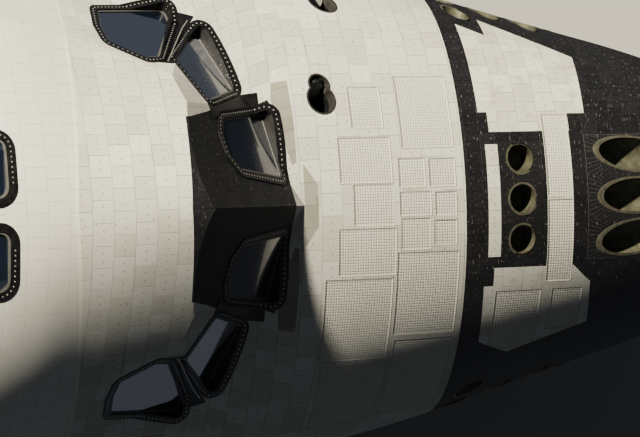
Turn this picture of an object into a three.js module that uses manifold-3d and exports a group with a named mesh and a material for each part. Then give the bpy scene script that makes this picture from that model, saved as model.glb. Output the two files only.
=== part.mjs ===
import * as THREE from 'three';
import { mergeVertices } from 'three/addons/utils/BufferGeometryUtils.js';
import Module from 'manifold-3d';

// Forward fuselage of a space shuttle orbiter, nose gear down, in millimetres.
// The vehicle's own stations are used: inches aft of the datum, to port, and up.
// X points forward, Y to port and Z up, from the middle of the aft joining frame.
const inch = 25.4;
const aftStation = 582;
const datumHeight = 400;
const bulkheadThickness = 80;
const shellThickness = 60;
const joinGap = 0.3;
const movingGap = 6;
const swingGap = 11; // round a door whose far edge swings out as it turns
const farAway = 20000;

// Where the shell is split into its panels, in inches.
const noseCapStation = 262;
const thrusterAftStation = 371;
const splitHeight = 342;

// Columns: station, crown height, keel height, half width, height of the widest point.
const bodySections = [
  [236.6, 341.5, 336.5, 3, 339],
  [240.5, 354, 324, 16, 339],
  [245, 361, 317.5, 23.5, 339],
  [254, 370, 309.6, 32.5, 339],
  [270, 381, 302, 42.3, 339.5],
  [284, 387.8, 298, 48.5, 340],
  [300, 394.8, 294.8, 54, 341],
  [318, 402, 292, 59.3, 342],
  [351, 413.5, 288.5, 69, 345],
  [371, 419.8, 286.6, 75, 348],
  [398, 428.5, 286, 81.7, 352.5],
  [423, 436, 286, 87, 358],
  [460, 446, 286, 93.5, 367],
  [490, 454, 286, 98.3, 375.5],
  [515, 460, 286, 101.3, 382.5],
  [548, 468, 286, 104, 391],
  [582, 476, 286, 105, 398],
  [592, 478, 286, 105, 400],
];

// Columns: station, crown height, flatness of the roof, flatness of the side.
const cabinSections = [
  [424, 478, 0.28, 0.40],
  [478, 488.3, 0.30, 0.42],
  [510, 495.3, 0.33, 0.45],
  [526, 498, 0.38, 0.47],
  [545, 501.5, 0.46, 0.51],
  [562, 503.6, 0.52, 0.54],
  [582, 505, 0.5523, 0.5523],
  [592, 505, 0.5523, 0.5523],
];

// The cabin's own solid stops inside the body: its underside is at this height, and its sides step in.
const cabinUnderside = 345;
const cabinSideStep = 0.05;

// The windshield has three flat faces on each side. The port ones are listed, the others mirror them.
// normal points forward, to port and up; point is station, side and height; each glass outline is
// in inches on the face, outboard and up the slope from that point.
const windshieldFaces = [
  { pane: 'forward', normal: [0.693, 0.3734, 0.6167], point: [454.9, 20.33, 447.76],
    glass: [[8.7, -16.5], [16.5, 12.8], [12.5, 18.8], [5.2, 22.2], [-1.8, 19.7], [-13.9, -5.4]] },
  { pane: 'middle', normal: [0.6109, 0.5966, 0.5204], point: [469.52, 50.47, 437.97],
    glass: [[10.1, -15.1], [12.3, 18.7], [-6, 24.5], [-13.2, 0.5]] },
  { pane: 'side', normal: [0.3309, 0.7966, 0.5059], point: [493.27, 63.75, 440.99],
    glass: [[-8.8, -21], [17.6, 0.5], [16.5, 12.6], [13.4, 21.5], [-0.9, 22.7], [-6.1, 18], [-11.2, -12.3]] },
];
const paneThickness = 25;
const paneRecess = 10;
const paneCornerRadius = 2;

// Two overhead windows over the aft flight deck, and two that look aft through the bulkhead.
const overheadWindow = { foreStation: 556, aftStation: 573.5, innerSide: 5.6, outerSide: 26.5, corner: 4 };
const aftWindow = { innerSide: 6, outerSide: 20.5, low: 462, high: 476.5, corner: 3 };

// Round side hatch, port side, hinged at its lower edge.
const sideHatch = { station: 505, height: 372, radius: 20, paneRadius: 5.25, hingeSpread: 5 };
const hatchHinge = { pinBeyond: 22, out: 16, radius: 12, lugLength: 50, rootNear: 43, rootFar: 73 };

// D-shaped airlock hatch in the aft bulkhead, hinged on its port side.
const airlockHatch = { height: 360, radius: 20, flatShare: 0.6, thickness: 50, rootDepth: 8, pinOutside: 26,
  pinAhead: 14, pinRadius: 12, pinLength: 60, pinSpread: 150, armHalf: 20 };

// Two keyhole doors over the star trackers, port side, open: they hang inward from the small lobe's end.
const starDoors = [
  { name: 'star_tracker_door_top', station: 427.2, side: 37.1 },
  { name: 'star_tracker_door_side', station: 418.3, side: 71.6 },
];
const starDoor = { radius: 4.8, smallRadius: 3.4, smallOffset: 5.6, thickness: 20, pinFromEnd: 24, pinDepth: 35,
  pinRadius: 9, lugLength: 40, armReach: 50, pocketDepth: 24, pocketFromPin: 10 };

// Thruster bells, port side or on the centre line. Columns: station, side, height, exit radius.
const upThrusters = [[350.9, -14.39, 413, 5], [350.9, 0, 413, 5], [350.9, 14.39, 413, 5]];
const forwardThrusters = [[318, -14.65, 394.4, 5.85], [318, 0, 396.2, 5.85], [318, 14.65, 394.4, 5.85]];
const sideThrusters = [[362.67, 69.46, 373.73, 4.7], [364.71, 71.66, 359.25, 4.7]];
const downThrusters = [[333.84, 61.42, 356.92, 4.7], [348.44, 66.23, 358.44, 4.7], [324.35, 59.7, 350.12, 2]];
const downAxis = [0, 0.75, -0.66];
const bellWall = 6;
const bellDepth = 11;
const bellThroat = 0.55;
const bellNarrowing = 0.3;
const bellSides = 12;
const bellClearance = 0.45;
const lipRecess = 2;
// The plates that join the bells behind them: two stations, two sides and two heights.
const upPlate = [346, 356, -19, 19, 401, 402.4];
const forwardPlate = [327.8, 329.4, -19, 19, 391, 398];
const sidePlate = [359, 368, 58, 60.8, 355, 377];
const downPlate = { station: 337, side: 61, height: 355.6, length: 30, width: 11, thickness: 4.4, lap: 0.8 };

// Air data probes, one each side, that flip out about the lower edge of their panel.
const airProbe = { station: 352, height: 322, length: 15, width: 7.5, mastReach: 2.4, mastHeight: 3.6,
  tubeLength: 13, tubeRadius: 0.55 };
const panelCorner = 30;
const holeCorner = 12;
// Its hinge, in millimetres. The panel's far edge is rounded off where it swings past the shell.
const probeHinge = { pinBeyond: 14, out: 14, radius: 9, lugLength: 40, places: [-90, 90], rootNear: 25,
  rootFar: 50, sweepBeyond: 14.5 };

// Nose landing gear, extended.
const gear = { station: 372, trunnionHeight: 308, trunnionRadius: 2.6, legRadius: 4, legBottom: 262,
  legAbove: 6, pistonRadius: 2.8, collarRadius: 4.6, collarHeight: 3, knuckleRadius: 2.6, knuckleHalf: 3.3,
  axleHeight: 234, axleRadius: 1.6, tyreRadius: 16, tyreWidth: 8.8, rimRadius: 8.4, wheelSide: 8.5 };
// The torque links meet at a knee behind the leg.
const torqueLink = { radius: 0.9, spread: 1.8, collarAft: 2, collarHeight: 260.5, knuckleAft: 1,
  knuckleHeight: 235.5, kneeAft: 9, kneeHeight: 247 };
// The drag brace spreads from an eye ahead of the leg to a bar across the well.
const dragBrace = { station: 334, height: 326, barRadius: 1.8, barSpread: 9, strutRadius: 1.3, eyeAhead: 9.4,
  eyeHeight: 283, eyeRadius: 1.9, eyeHalf: 2.2, eyeSpread: 0.8, lugHalf: 1.5, lugHeight: 2 };
const wheelSides = 20;
// Half profiles. Columns: radius, distance from the middle as a share of half the tyre's width.
const tyreProfile = [[10.4, 0.93], [13, 1], [14.9, 0.86], [15.8, 0.5], [16, 0]];
const wheelProfile = [[3.2, 0.59], [3.6, 0.23], [6.6, 0.32], [7.4, 0.72], [8.4, 0.72]];
const hubShare = 0.59;
const beadShare = 0.72;
const wheelWell = { foreStation: 276, aftStation: 378, halfWidth: 16, wallSide: 18.2, top: 332, wall: 20,
  margin: 2 };
const gearDoor = { angle: 90, foreHinge: 296.2, aftHinge: 286, middleGap: 0.1, arms: [300, 330, 360] };
// A gear door's arm, from its foot in the door up its stem and out to the well's wall, in inches.
const doorArm = { halfLength: 20, footLow: 6, footHigh: 1.5, footInset: 0.6, stemInner: 1.4, stemOuter: 0.5,
  headLow: 5.5, headHigh: 8 };

// Cabin floor heights and fittings.
const flightDeckHeight = 418;
const midDeckHeight = 337;
const deckThickness = 40;
const flightDeckFore = 452;
const midDeckFore = 384;
const panel = { foreStation: 466, aftStation: 473, halfWidth: 33, top: 443 };
const centreConsole = { aftStation: 500, halfWidth: 6, top: 438 };
const aftConsole = { foreStation: 567, halfWidth: 30, top: 456 };
const seat = { station: 498, side: 22, width: 19, panHeight: 15, backHeight: 34, depth: 17, thickness: 4,
  headTop: 44, headHeight: 11, headHalf: 5, pedestalHalf: 6, pedestalFore: 3, pedestalAft: 1 };
const tankFitting = { station: 388.2, radius: 4, height: 3, footShare: 0.7 };

// Materials, one for each kind of surface.
const finish = (color, roughness, metalness) =>
  new THREE.MeshStandardMaterial({ color, roughness, metalness });
const whiteTile = finish(0xe4e0d2, 0.85, 0);
const blackTile = finish(0x24211f, 0.8, 0);
const carbonCap = finish(0x4c4a48, 0.6, 0.1);
const glassPane = finish(0x3c4a52, 0.1, 0);
const bareAlloy = finish(0x9c8f6c, 0.5, 0.8);
const bellMetal = finish(0x6f6655, 0.4, 0.9);
const gearWhite = finish(0xd8d8d2, 0.5, 0.3);
const tyreRubber = finish(0x2a2a2a, 0.9, 0);
const wheelAlloy = finish(0xb4b4b0, 0.4, 0.8);
const cabinGrey = finish(0x8e9296, 0.7, 0.1);
const seatCloth = finish(0x5a6670, 0.95, 0);

const wasm = await Module();
wasm.setup();

// Vehicle coordinates in inches to the part's own millimetres.
const place = (station, side, height) =>
  new THREE.Vector3((aftStation - station) * inch, side * inch, (height - datumHeight) * inch);

// A closed geometry becomes a solid, and back.
function solid(geometry, matrix) {
  let bare = geometry.clone();
  bare.deleteAttribute('normal');
  bare.deleteAttribute('uv');
  if (matrix) bare.applyMatrix4(matrix);
  bare = mergeVertices(bare, 1e-3);
  const triVerts = new Uint32Array(bare.index.array);
  return new wasm.Manifold(new wasm.Mesh({
    numProp: 3, vertProperties: new Float32Array(bare.attributes.position.array), triVerts }));
}
function geometryOf(body) {
  const mesh = body.getMesh();
  const geometry = new THREE.BufferGeometry();
  geometry.setAttribute('position', new THREE.BufferAttribute(new Float32Array(mesh.vertProperties), 3));
  geometry.setIndex(new THREE.BufferAttribute(new Uint32Array(mesh.triVerts), 1));
  geometry.computeVertexNormals();
  return geometry;
}
const union = (bodies) => bodies.reduce((whole, body) => whole.add(body));

// Simple solids, in the part's millimetres.
function block(low, high) {
  const size = new THREE.Vector3().subVectors(high, low);
  const middle = new THREE.Vector3().addVectors(low, high).multiplyScalar(0.5);
  return solid(new THREE.BoxGeometry(size.x, size.y, size.z),
    new THREE.Matrix4().makeTranslation(middle.x, middle.y, middle.z));
}
// A block between two corners given as station, side and height in inches.
function stationBlock(foreStation, aft, sideLow, sideHigh, low, high) {
  return block(place(aft, sideLow, low), place(foreStation, sideHigh, high));
}
function rod(from, to, radius, sides = 16, radiusTo = radius) {
  const along = new THREE.Vector3().subVectors(to, from);
  const upright = new THREE.Vector3(0, 1, 0);
  const turn = new THREE.Quaternion().setFromUnitVectors(upright, along.clone().normalize());
  const middle = new THREE.Vector3().addVectors(from, to).multiplyScalar(0.5);
  const matrix = new THREE.Matrix4().compose(middle, turn, new THREE.Vector3(1, 1, 1));
  return solid(new THREE.CylinderGeometry(radiusTo, radius, along.length(), sides), matrix);
}
// A prism over a flat outline: the outline lies in the basis' XY plane, and depths run along its Z.
function prism(shape, from, to, basis, curveSegments = 6) {
  const geometry = new THREE.ExtrudeGeometry(shape, { depth: to - from, bevelEnabled: false, curveSegments });
  geometry.translate(0, 0, from);
  return solid(geometry, basis);
}
// A flat outline through corners, each rounded to the radius.
function roundedShape(corners, radius) {
  const points = corners.map(([x, y]) => new THREE.Vector2(x, y));
  const shape = new THREE.Shape();
  points.forEach((corner, i) => {
    const before = points[(i + points.length - 1) % points.length];
    const after = points[(i + 1) % points.length];
    const start = corner.clone().add(before.clone().sub(corner).setLength(radius));
    const end = corner.clone().add(after.clone().sub(corner).setLength(radius));
    if (i === 0) shape.moveTo(start.x, start.y);
    else shape.lineTo(start.x, start.y);
    shape.quadraticCurveTo(corner.x, corner.y, end.x, end.y);
  });
  shape.closePath();
  return shape;
}
function circleShape(radius) {
  const shape = new THREE.Shape();
  shape.absarc(0, 0, radius, 0, Math.PI * 2);
  return shape;
}
// Moves every corner of an outline away from its middle, for the gap round a pane or door.
function grown(corners, by) {
  const count = corners.length;
  const middle = corners.reduce(([x, y], [cx, cy]) => [x + cx / count, y + cy / count], [0, 0]);
  return corners.map(([x, y]) => {
    const reach = Math.hypot(x - middle[0], y - middle[1]);
    const scale = (reach + by) / reach;
    return [middle[0] + (x - middle[0]) * scale, middle[1] + (y - middle[1]) * scale];
  });
}
const inMillimetres = (corners) => corners.map(([x, y]) => [x * inch, y * inch]);
// A basis whose Z is the given outward direction and whose Y climbs as steeply as the face allows.
function faceBasis(point, normal) {
  const outward = new THREE.Vector3(...normal).normalize();
  const across = new THREE.Vector3(0, 0, 1).cross(outward).normalize();
  const upSlope = new THREE.Vector3().crossVectors(outward, across);
  return new THREE.Matrix4().makeBasis(across, upSlope, outward).setPosition(point);
}
const mirrorSide = ([forward, side, up]) => [forward, -side, up];

// The body's sections, with straight lines between the rows of the table.
function rowAt(table, station) {
  const last = table.findIndex((row) => row[0] >= station);
  if (last <= 0) return table[last === 0 ? 0 : table.length - 1].slice(1);
  const before = table[last - 1];
  const after = table[last];
  const share = (station - before[0]) / (after[0] - before[0]);
  return before.slice(1).map((value, i) => value + (after[i + 1] - value) * share);
}
const circleFlatness = 0.5523;
const round = [circleFlatness, circleFlatness];
// The belly flattens and the side stands up towards the aft end.
function lowerFlatness(station) {
  const share = THREE.MathUtils.smoothstep(station, 270, 520);
  return [circleFlatness + 0.33 * share, circleFlatness + 0.3 * share];
}
// A quarter of a section, from the crown or keel to the widest point: [side, height] in inches.
function quarterPoint(halfWidth, tip, widest, [flat, upright], t) {
  const s = 1 - t;
  return [
    halfWidth * (3 * s * s * t * flat + 3 * s * t * t + t * t * t),
    widest + (tip - widest) * (s * s * s + 3 * s * s * t + 3 * s * t * t * upright),
  ];
}
const upperSteps = 7;
const lowerSteps = 5;
// Half a section from keel to crown on the port side, then back down the starboard side.
function sectionRing(station, crown, roof, floor) {
  const [bodyCrown, bodyKeel, halfWidth, widest] = rowAt(bodySections, station);
  const keel = floor ?? bodyKeel;
  const wide = floor ? halfWidth - cabinSideStep : halfWidth;
  const low = floor ? round : lowerFlatness(station);
  const ring = [];
  for (let i = 0; i < lowerSteps; i += 1) {
    ring.push(quarterPoint(wide, keel, widest, low, i / lowerSteps));
  }
  for (let i = upperSteps; i >= 0; i -= 1) {
    ring.push(quarterPoint(wide, crown ?? bodyCrown, widest, roof, i / upperSteps));
  }
  const back = ring.slice(1, -1).reverse().map(([side, height]) => [-side, height]);
  return ring.concat(back).map(([side, height]) => place(station, side, height));
}
// Skins a closed solid over rings that all have the same number of points.
function skin(rings) {
  const count = rings[0].length;
  const centre = (ring) => ring.reduce((sum, p) => sum.add(p), new THREE.Vector3()).divideScalar(count);
  const points = [...rings.flat(), centre(rings[0]), centre(rings.at(-1))];
  const faces = [];
  for (let r = 0; r + 1 < rings.length; r += 1) {
    for (let i = 0; i < count; i += 1) {
      const next = (i + 1) % count;
      const [a, b, c, d] = [r * count + i, r * count + next, (r + 1) * count + i, (r + 1) * count + next];
      faces.push(a, d, b, a, c, d);
    }
  }
  const last = (rings.length - 1) * count;
  for (let i = 0; i < count; i += 1) {
    const next = (i + 1) % count;
    faces.push(points.length - 2, i, next, points.length - 1, last + next, last + i);
  }
  const geometry = new THREE.BufferGeometry().setFromPoints(points);
  geometry.setIndex(faces);
  geometry.computeVertexNormals();
  return geometry;
}
// The same skin moved along its normals, inward for a positive depth.
function inset(geometry, depth) {
  const moved = geometry.clone();
  const { position, normal } = moved.attributes;
  for (let i = 0; i < position.count; i += 1) {
    position.setXYZ(i, position.getX(i) - normal.getX(i) * depth, position.getY(i) - normal.getY(i) * depth,
      position.getZ(i) - normal.getZ(i) * depth);
  }
  return moved;
}
const bodySkin = skin(bodySections.map(([station]) => sectionRing(station, null, round)));
const cabinSkin = skin(cabinSections.map(([station, crown, roof, side]) =>
  sectionRing(station, crown, [roof, side], cabinUnderside)));

// The whole outside at a depth below the surface: body and cabin, with the windshield's flat faces cut.
function hullAt(depth) {
  let cabin = solid(inset(cabinSkin, depth));
  for (const face of windshieldFaces) {
    for (const turned of [face.normal, mirrorSide(face.normal)]) {
      const side = turned[1] > 0 ? face.point[1] : -face.point[1];
      const outward = new THREE.Vector3(...turned).normalize();
      const onFace = place(face.point[0], side, face.point[2]).addScaledVector(outward, -depth);
      cabin = cabin.trimByPlane(outward.clone().negate().toArray(), -outward.dot(onFace));
    }
  }
  return solid(inset(bodySkin, depth)).add(cabin);
}
const outside = hullAt(0);
const inside = hullAt(shellThickness);
const lining = hullAt(shellThickness + joinGap);
const shell = outside.subtract(inside);

// The skin's flat facets at a station: half of its upper or lower section, [side, height] in inches.
function facets(station, tip, flatness, steps) {
  const [, , halfWidth, widest] = rowAt(bodySections, station);
  return Array.from({ length: steps + 1 }, (_, i) =>
    quarterPoint(halfWidth, tip, widest, flatness, i / steps));
}
const upperFacets = (station) => facets(station, rowAt(bodySections, station)[0], round, upperSteps);
const lowerFacets = (station) =>
  facets(station, rowAt(bodySections, station)[1], lowerFlatness(station), lowerSteps);
// Where the facets reach a value in one column (0 side, 1 height), and their value in the other.
function crossing(points, column, value) {
  const last = points.findIndex((point, i) => i > 0
    && (point[column] - value) * (points[i - 1][column] - value) <= 0);
  const [a, b] = [points[last - 1], points[last]];
  return THREE.MathUtils.mapLinear(value, a[column], b[column], a[1 - column], b[1 - column]);
}
const upperHeight = (station, side) => crossing(upperFacets(station), 0, side);
const bellyHeight = (station, side) => crossing(lowerFacets(station), 0, side);
const lowerSide = (station, height) => crossing(lowerFacets(station), 1, height);
function upperNormal(station, side) {
  const alongSlope = (upperHeight(station + 2, side) - upperHeight(station - 2, side)) / 4;
  const acrossSlope = (upperHeight(station, side + 1) - upperHeight(station, side - 1)) / 2;
  return [alongSlope, -acrossSlope, 1];
}
// A basis on the skin: X runs forward, Z outward, and Y is their cross.
function skinBasis(point, normal) {
  const outward = new THREE.Vector3(...normal).normalize();
  const along = new THREE.Vector3(1, 0, 0).addScaledVector(outward, -outward.x).normalize();
  return new THREE.Matrix4().makeBasis(along, new THREE.Vector3().crossVectors(outward, along), outward)
    .setPosition(point);
}

// Everything that the group holds is made by one call each.
const model = new THREE.Group();
function add(name, material, body) {
  const mesh = new THREE.Mesh(body.isBufferGeometry ? body : geometryOf(body), material);
  mesh.name = name;
  model.add(mesh);
}
const bothSides = [['port', 1], ['starboard', -1]];

// Windshield, overhead, aft and hatch panes, and the holes that they sit in.
const shellHoles = [];
for (const face of windshieldFaces) {
  for (const [sideName, sign] of bothSides) {
    const normal = sign > 0 ? face.normal : mirrorSide(face.normal);
    const basis = faceBasis(place(face.point[0], sign * face.point[1], face.point[2]), normal);
    const corners = inMillimetres(face.glass.map(([u, v]) => [sign * u, v]));
    const ordered = sign > 0 ? corners : corners.reverse();
    const radius = paneCornerRadius * inch;
    shellHoles.push(prism(roundedShape(grown(ordered, joinGap * 2), radius), -400, 200, basis, 3));
    add(`windshield_${face.pane}_${sideName}`, glassPane,
      prism(roundedShape(ordered, radius), -paneRecess - paneThickness, -paneRecess, basis, 3));
  }
}
function rectangle(xLow, xHigh, yLow, yHigh) {
  return [[xLow, yLow], [xHigh, yLow], [xHigh, yHigh], [xLow, yHigh]];
}
for (const [sideName, sign] of bothSides) {
  const { foreStation, aftStation: aft, innerSide, outerSide, corner } = overheadWindow;
  const sides = [sign * innerSide, sign * outerSide].sort((a, b) => a - b);
  const outline = rectangle(...[aft, foreStation].map((s) => (aftStation - s) * inch),
    sides[0] * inch, sides[1] * inch);
  const hole = prism(roundedShape(grown(outline, joinGap * 2), corner * inch), 1500, 3000, null, 3);
  shellHoles.push(hole);
  const pane = prism(roundedShape(outline, corner * inch), 1500, 3000, null, 3);
  add(`overhead_window_${sideName}`, glassPane,
    pane.intersect(hullAt(paneRecess).subtract(hullAt(paneRecess + paneThickness))));
}

// Side hatch: a round piece of the shell, with its own small window, two hinge lugs and a pin block.
const hatchSlope = (rowAt(bodySections, sideHatch.station + 10)[2]
  - rowAt(bodySections, sideHatch.station - 10)[2]) / 20;
const hatchOutward = [hatchSlope, 1, 0];
const hatchSide = rowAt(bodySections, sideHatch.station)[2];
const hatchCentre = place(sideHatch.station, hatchSide, sideHatch.height);
const hatchBasis = faceBasis(hatchCentre, hatchOutward);
const hatchHole = prism(circleShape(sideHatch.radius * inch + swingGap), -400, 400, hatchBasis, 8);
const hatchRegion = prism(circleShape(sideHatch.radius * inch), -400, 400, hatchBasis, 8);
const hatchPaneHole = prism(circleShape(sideHatch.paneRadius * inch + joinGap), -400, 400, hatchBasis, 4);
shellHoles.push(hatchHole);
// A block in a basis of its own.
function boxed(basis, xLow, xHigh, yA, yB, zLow, zHigh) {
  const middle = [(xLow + xHigh) / 2, (yA + yB) / 2, (zLow + zHigh) / 2];
  return solid(new THREE.BoxGeometry(xHigh - xLow, Math.abs(yB - yA), zHigh - zLow),
    basis.clone().multiply(new THREE.Matrix4().makeTranslation(...middle)));
}
// Hinges on one edge of a door. In the door's basis the pins lie along X, at Y = pinAt, and stand out by
// Z = out. Each place gets a lug on the door between two on the shell, with an arm that roots in the door
// between Y = rootNear and rootFar.
const hingeArm = { reach: 40, pinLap: 4, below: 8, above: 10 };
function hinges(basis, { pinAt, out, places, lugLength, radius, rootNear, rootFar }) {
  const away = Math.sign(pinAt);
  const { reach, pinLap, below, above } = hingeArm;
  const lug = (x) => rod(new THREE.Vector3(x - lugLength / 2, pinAt, out).applyMatrix4(basis),
    new THREE.Vector3(x + lugLength / 2, pinAt, out).applyMatrix4(basis), radius, 10);
  const onDoor = [];
  const onShell = [];
  for (const x of places) {
    const [low, high] = [x - lugLength / 2, x + lugLength / 2];
    onDoor.push(lug(x), boxed(basis, low, high, pinAt + away * pinLap, rootFar, out - below, out + above),
      boxed(basis, low, high, rootNear, rootFar, -reach, out));
    for (const shift of [-lugLength - joinGap, lugLength + joinGap]) {
      onShell.push(lug(x + shift));
      onShell.push(boxed(basis, low + shift, high + shift, pinAt, pinAt + away * reach, -reach, out));
    }
  }
  return { onDoor: union(onDoor), onShell: union(onShell) };
}
const shellLugs = [];
const hatchEdgeAt = -sideHatch.radius * inch;
const hatchHinges = hinges(hatchBasis, { ...hatchHinge, pinAt: hatchEdgeAt - hatchHinge.pinBeyond,
  places: [-sideHatch.hingeSpread * inch, sideHatch.hingeSpread * inch],
  rootNear: hatchEdgeAt + hatchHinge.rootNear, rootFar: hatchEdgeAt + hatchHinge.rootFar });
shellLugs.push(hatchHinges.onShell);
add('side_hatch', whiteTile, shell.intersect(hatchRegion).subtract(hatchPaneHole).add(hatchHinges.onDoor));
add('side_hatch_window', glassPane, prism(circleShape(sideHatch.paneRadius * inch), -400, 400, hatchBasis, 4)
  .intersect(hullAt(paneRecess).subtract(hullAt(paneRecess + paneThickness))));

// Star tracker doors: a large and a small round lobe of the outer skin, turned in about a pin near the end
// of the small lobe. The shell carries the pin's outer lugs, and a pocket inside it lets the door pass.
const doorSkin = outside.subtract(hullAt(starDoor.thickness));
for (const door of starDoors) {
  const { radius, smallRadius, smallOffset, pinDepth, pinRadius, lugLength } = starDoor;
  const basis = skinBasis(place(door.station, door.side, upperHeight(door.station, door.side)),
    upperNormal(door.station, door.side));
  const small = basis.clone().multiply(new THREE.Matrix4().makeTranslation(0, smallOffset * inch, 0));
  const lobes = (extra) => prism(circleShape(radius * inch + extra), -300, 300, basis, 5)
    .add(prism(circleShape(smallRadius * inch + extra), -300, 300, small, 4));
  const pinFromCentre = (smallOffset + smallRadius) * inch - starDoor.pinFromEnd;
  const across = new THREE.Vector3().setFromMatrixColumn(basis, 1);
  const pinSide = door.side + across.y * pinFromCentre / inch;
  const pinBasis = skinBasis(place(door.station, pinSide, upperHeight(door.station, pinSide)),
    upperNormal(door.station, pinSide));
  const pocketReach = radius * inch + movingGap * 2;
  shellHoles.push(lobes(swingGap), boxed(pinBasis, -pocketReach, pocketReach, -pinFromCentre - pocketReach,
    -starDoor.pocketFromPin, -farAway / 20, -starDoor.pocketDepth));
  const lug = (from, to) => rod(new THREE.Vector3(from, 0, -pinDepth).applyMatrix4(pinBasis),
    new THREE.Vector3(to, 0, -pinDepth).applyMatrix4(pinBasis), pinRadius, 12);
  const half = lugLength / 2;
  for (const [from, to] of [[half + joinGap, half + lugLength], [-half - lugLength, -half - joinGap]]) {
    shellLugs.push(lug(from, to).add(boxed(pinBasis, from, to, 0, starDoor.armReach, -pinDepth - pinRadius,
      -pinDepth + pinRadius)));
  }
  const neck = boxed(pinBasis, -half, half, -pinRadius, pinRadius, -pinDepth, -starDoor.thickness + pinRadius);
  const pin = new THREE.Vector3(0, 0, -pinDepth);
  const turnedIn = pinBasis.clone().multiply(new THREE.Matrix4().makeTranslation(...pin.toArray()))
    .multiply(new THREE.Matrix4().makeRotationX(Math.PI / 2))
    .multiply(new THREE.Matrix4().makeTranslation(...pin.clone().negate().toArray()))
    .multiply(pinBasis.clone().invert());
  add(door.name, whiteTile, union([doorSkin.intersect(lobes(0)), lug(-half, half), neck])
    .transform(turnedIn.toArray()));
}

// Thrusters: open bells that end just under the surface, joined by a plate behind them.
const underSurface = hullAt(lipRecess);
function bell(exit, outward, radius, beyond) {
  const depth = bellDepth * inch;
  const wide = radius * inch;
  const throat = wide * bellThroat;
  const waist = -depth * bellNarrowing;
  const profile = [[0, -depth], [throat + bellWall, -depth], [wide + bellWall, waist],
    [wide + bellWall, beyond],
    [wide, beyond], [wide, waist], [throat, -depth + bellWall * 2], [0, -depth + bellWall * 2]]
    .map(([x, y]) => new THREE.Vector2(x, y));
  const turn = new THREE.Quaternion().setFromUnitVectors(new THREE.Vector3(0, 1, 0), outward);
  return solid(new THREE.LatheGeometry(profile, bellSides),
    new THREE.Matrix4().compose(exit, turn, new THREE.Vector3(1, 1, 1)));
}
function thrusterGroup(name, rows, direction, beyond, carrier) {
  const outward = new THREE.Vector3(...direction).normalize();
  const bells = rows.map(([station, side, height, radius]) =>
    bell(place(station, side, height), outward, radius, beyond));
  for (const [station, side, height, radius] of rows) {
    const exit = place(station, side, height);
    const start = exit.clone().addScaledVector(outward, -bellDepth * inch - 20);
    shellHoles.push(rod(start, exit.clone().addScaledVector(outward, beyond + 100),
      radius * inch + bellWall + bellClearance, bellSides));
  }
  add(name, bellMetal, union(bells).intersect(underSurface).add(carrier.intersect(lining)));
}
thrusterGroup('up_thrusters', upThrusters, [0, 0, 1], 80, stationBlock(...upPlate));
thrusterGroup('forward_thrusters', forwardThrusters, [1, 0, 0], 850, stationBlock(...forwardPlate));
for (const [sideName, sign] of bothSides) {
  const ordered = (rows) =>
    rows.map(([station, side, height, radius]) => [station, sign * side, height, radius]);
  const [fore, aft, inner, outer, low, high] = sidePlate;
  const sides = sign > 0 ? [inner, outer] : [-outer, -inner];
  thrusterGroup(`side_thrusters_${sideName}`, ordered(sideThrusters), [0, sign, 0], 120,
    stationBlock(fore, aft, ...sides, low, high));
  const downward = new THREE.Vector3(downAxis[0], sign * downAxis[1], downAxis[2]).normalize();
  const { station, side, height, length, width, thickness, lap } = downPlate;
  const middle = place(station, sign * side, height).addScaledVector(downward, -(bellDepth - lap) * inch);
  const turn = new THREE.Quaternion().setFromUnitVectors(new THREE.Vector3(0, 0, 1), downward);
  const carrier = solid(new THREE.BoxGeometry(length * inch, width * inch, thickness * inch),
    new THREE.Matrix4().compose(middle, turn, new THREE.Vector3(1, 1, 1)));
  thrusterGroup(`down_thrusters_${sideName}`, ordered(downThrusters), downward.toArray(), 160, carrier);
}

// Nose gear well: a box open at the bottom, trimmed to the inside of the shell.
const well = wheelWell;
const wellWall = well.wall / inch;
const belowKeel = 200;
const aboveBelly = 320;
const wellFore = well.foreStation - well.margin;
const wellAft = well.aftStation + well.margin;
const wellOuter = stationBlock(wellFore - wellWall, wellAft + wellWall, -well.wallSide - wellWall,
  well.wallSide + wellWall, belowKeel, well.top + wellWall);
const wellInner = stationBlock(wellFore, wellAft, -well.wallSide, well.wallSide, belowKeel, well.top);
add('wheel_well', bareAlloy, wellOuter.subtract(wellInner).intersect(lining));
const doorwayGap = movingGap / inch;
shellHoles.push(stationBlock(well.foreStation - doorwayGap, well.aftStation + doorwayGap,
  -well.halfWidth - doorwayGap, well.halfWidth + doorwayGap, belowKeel, aboveBelly));

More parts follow.
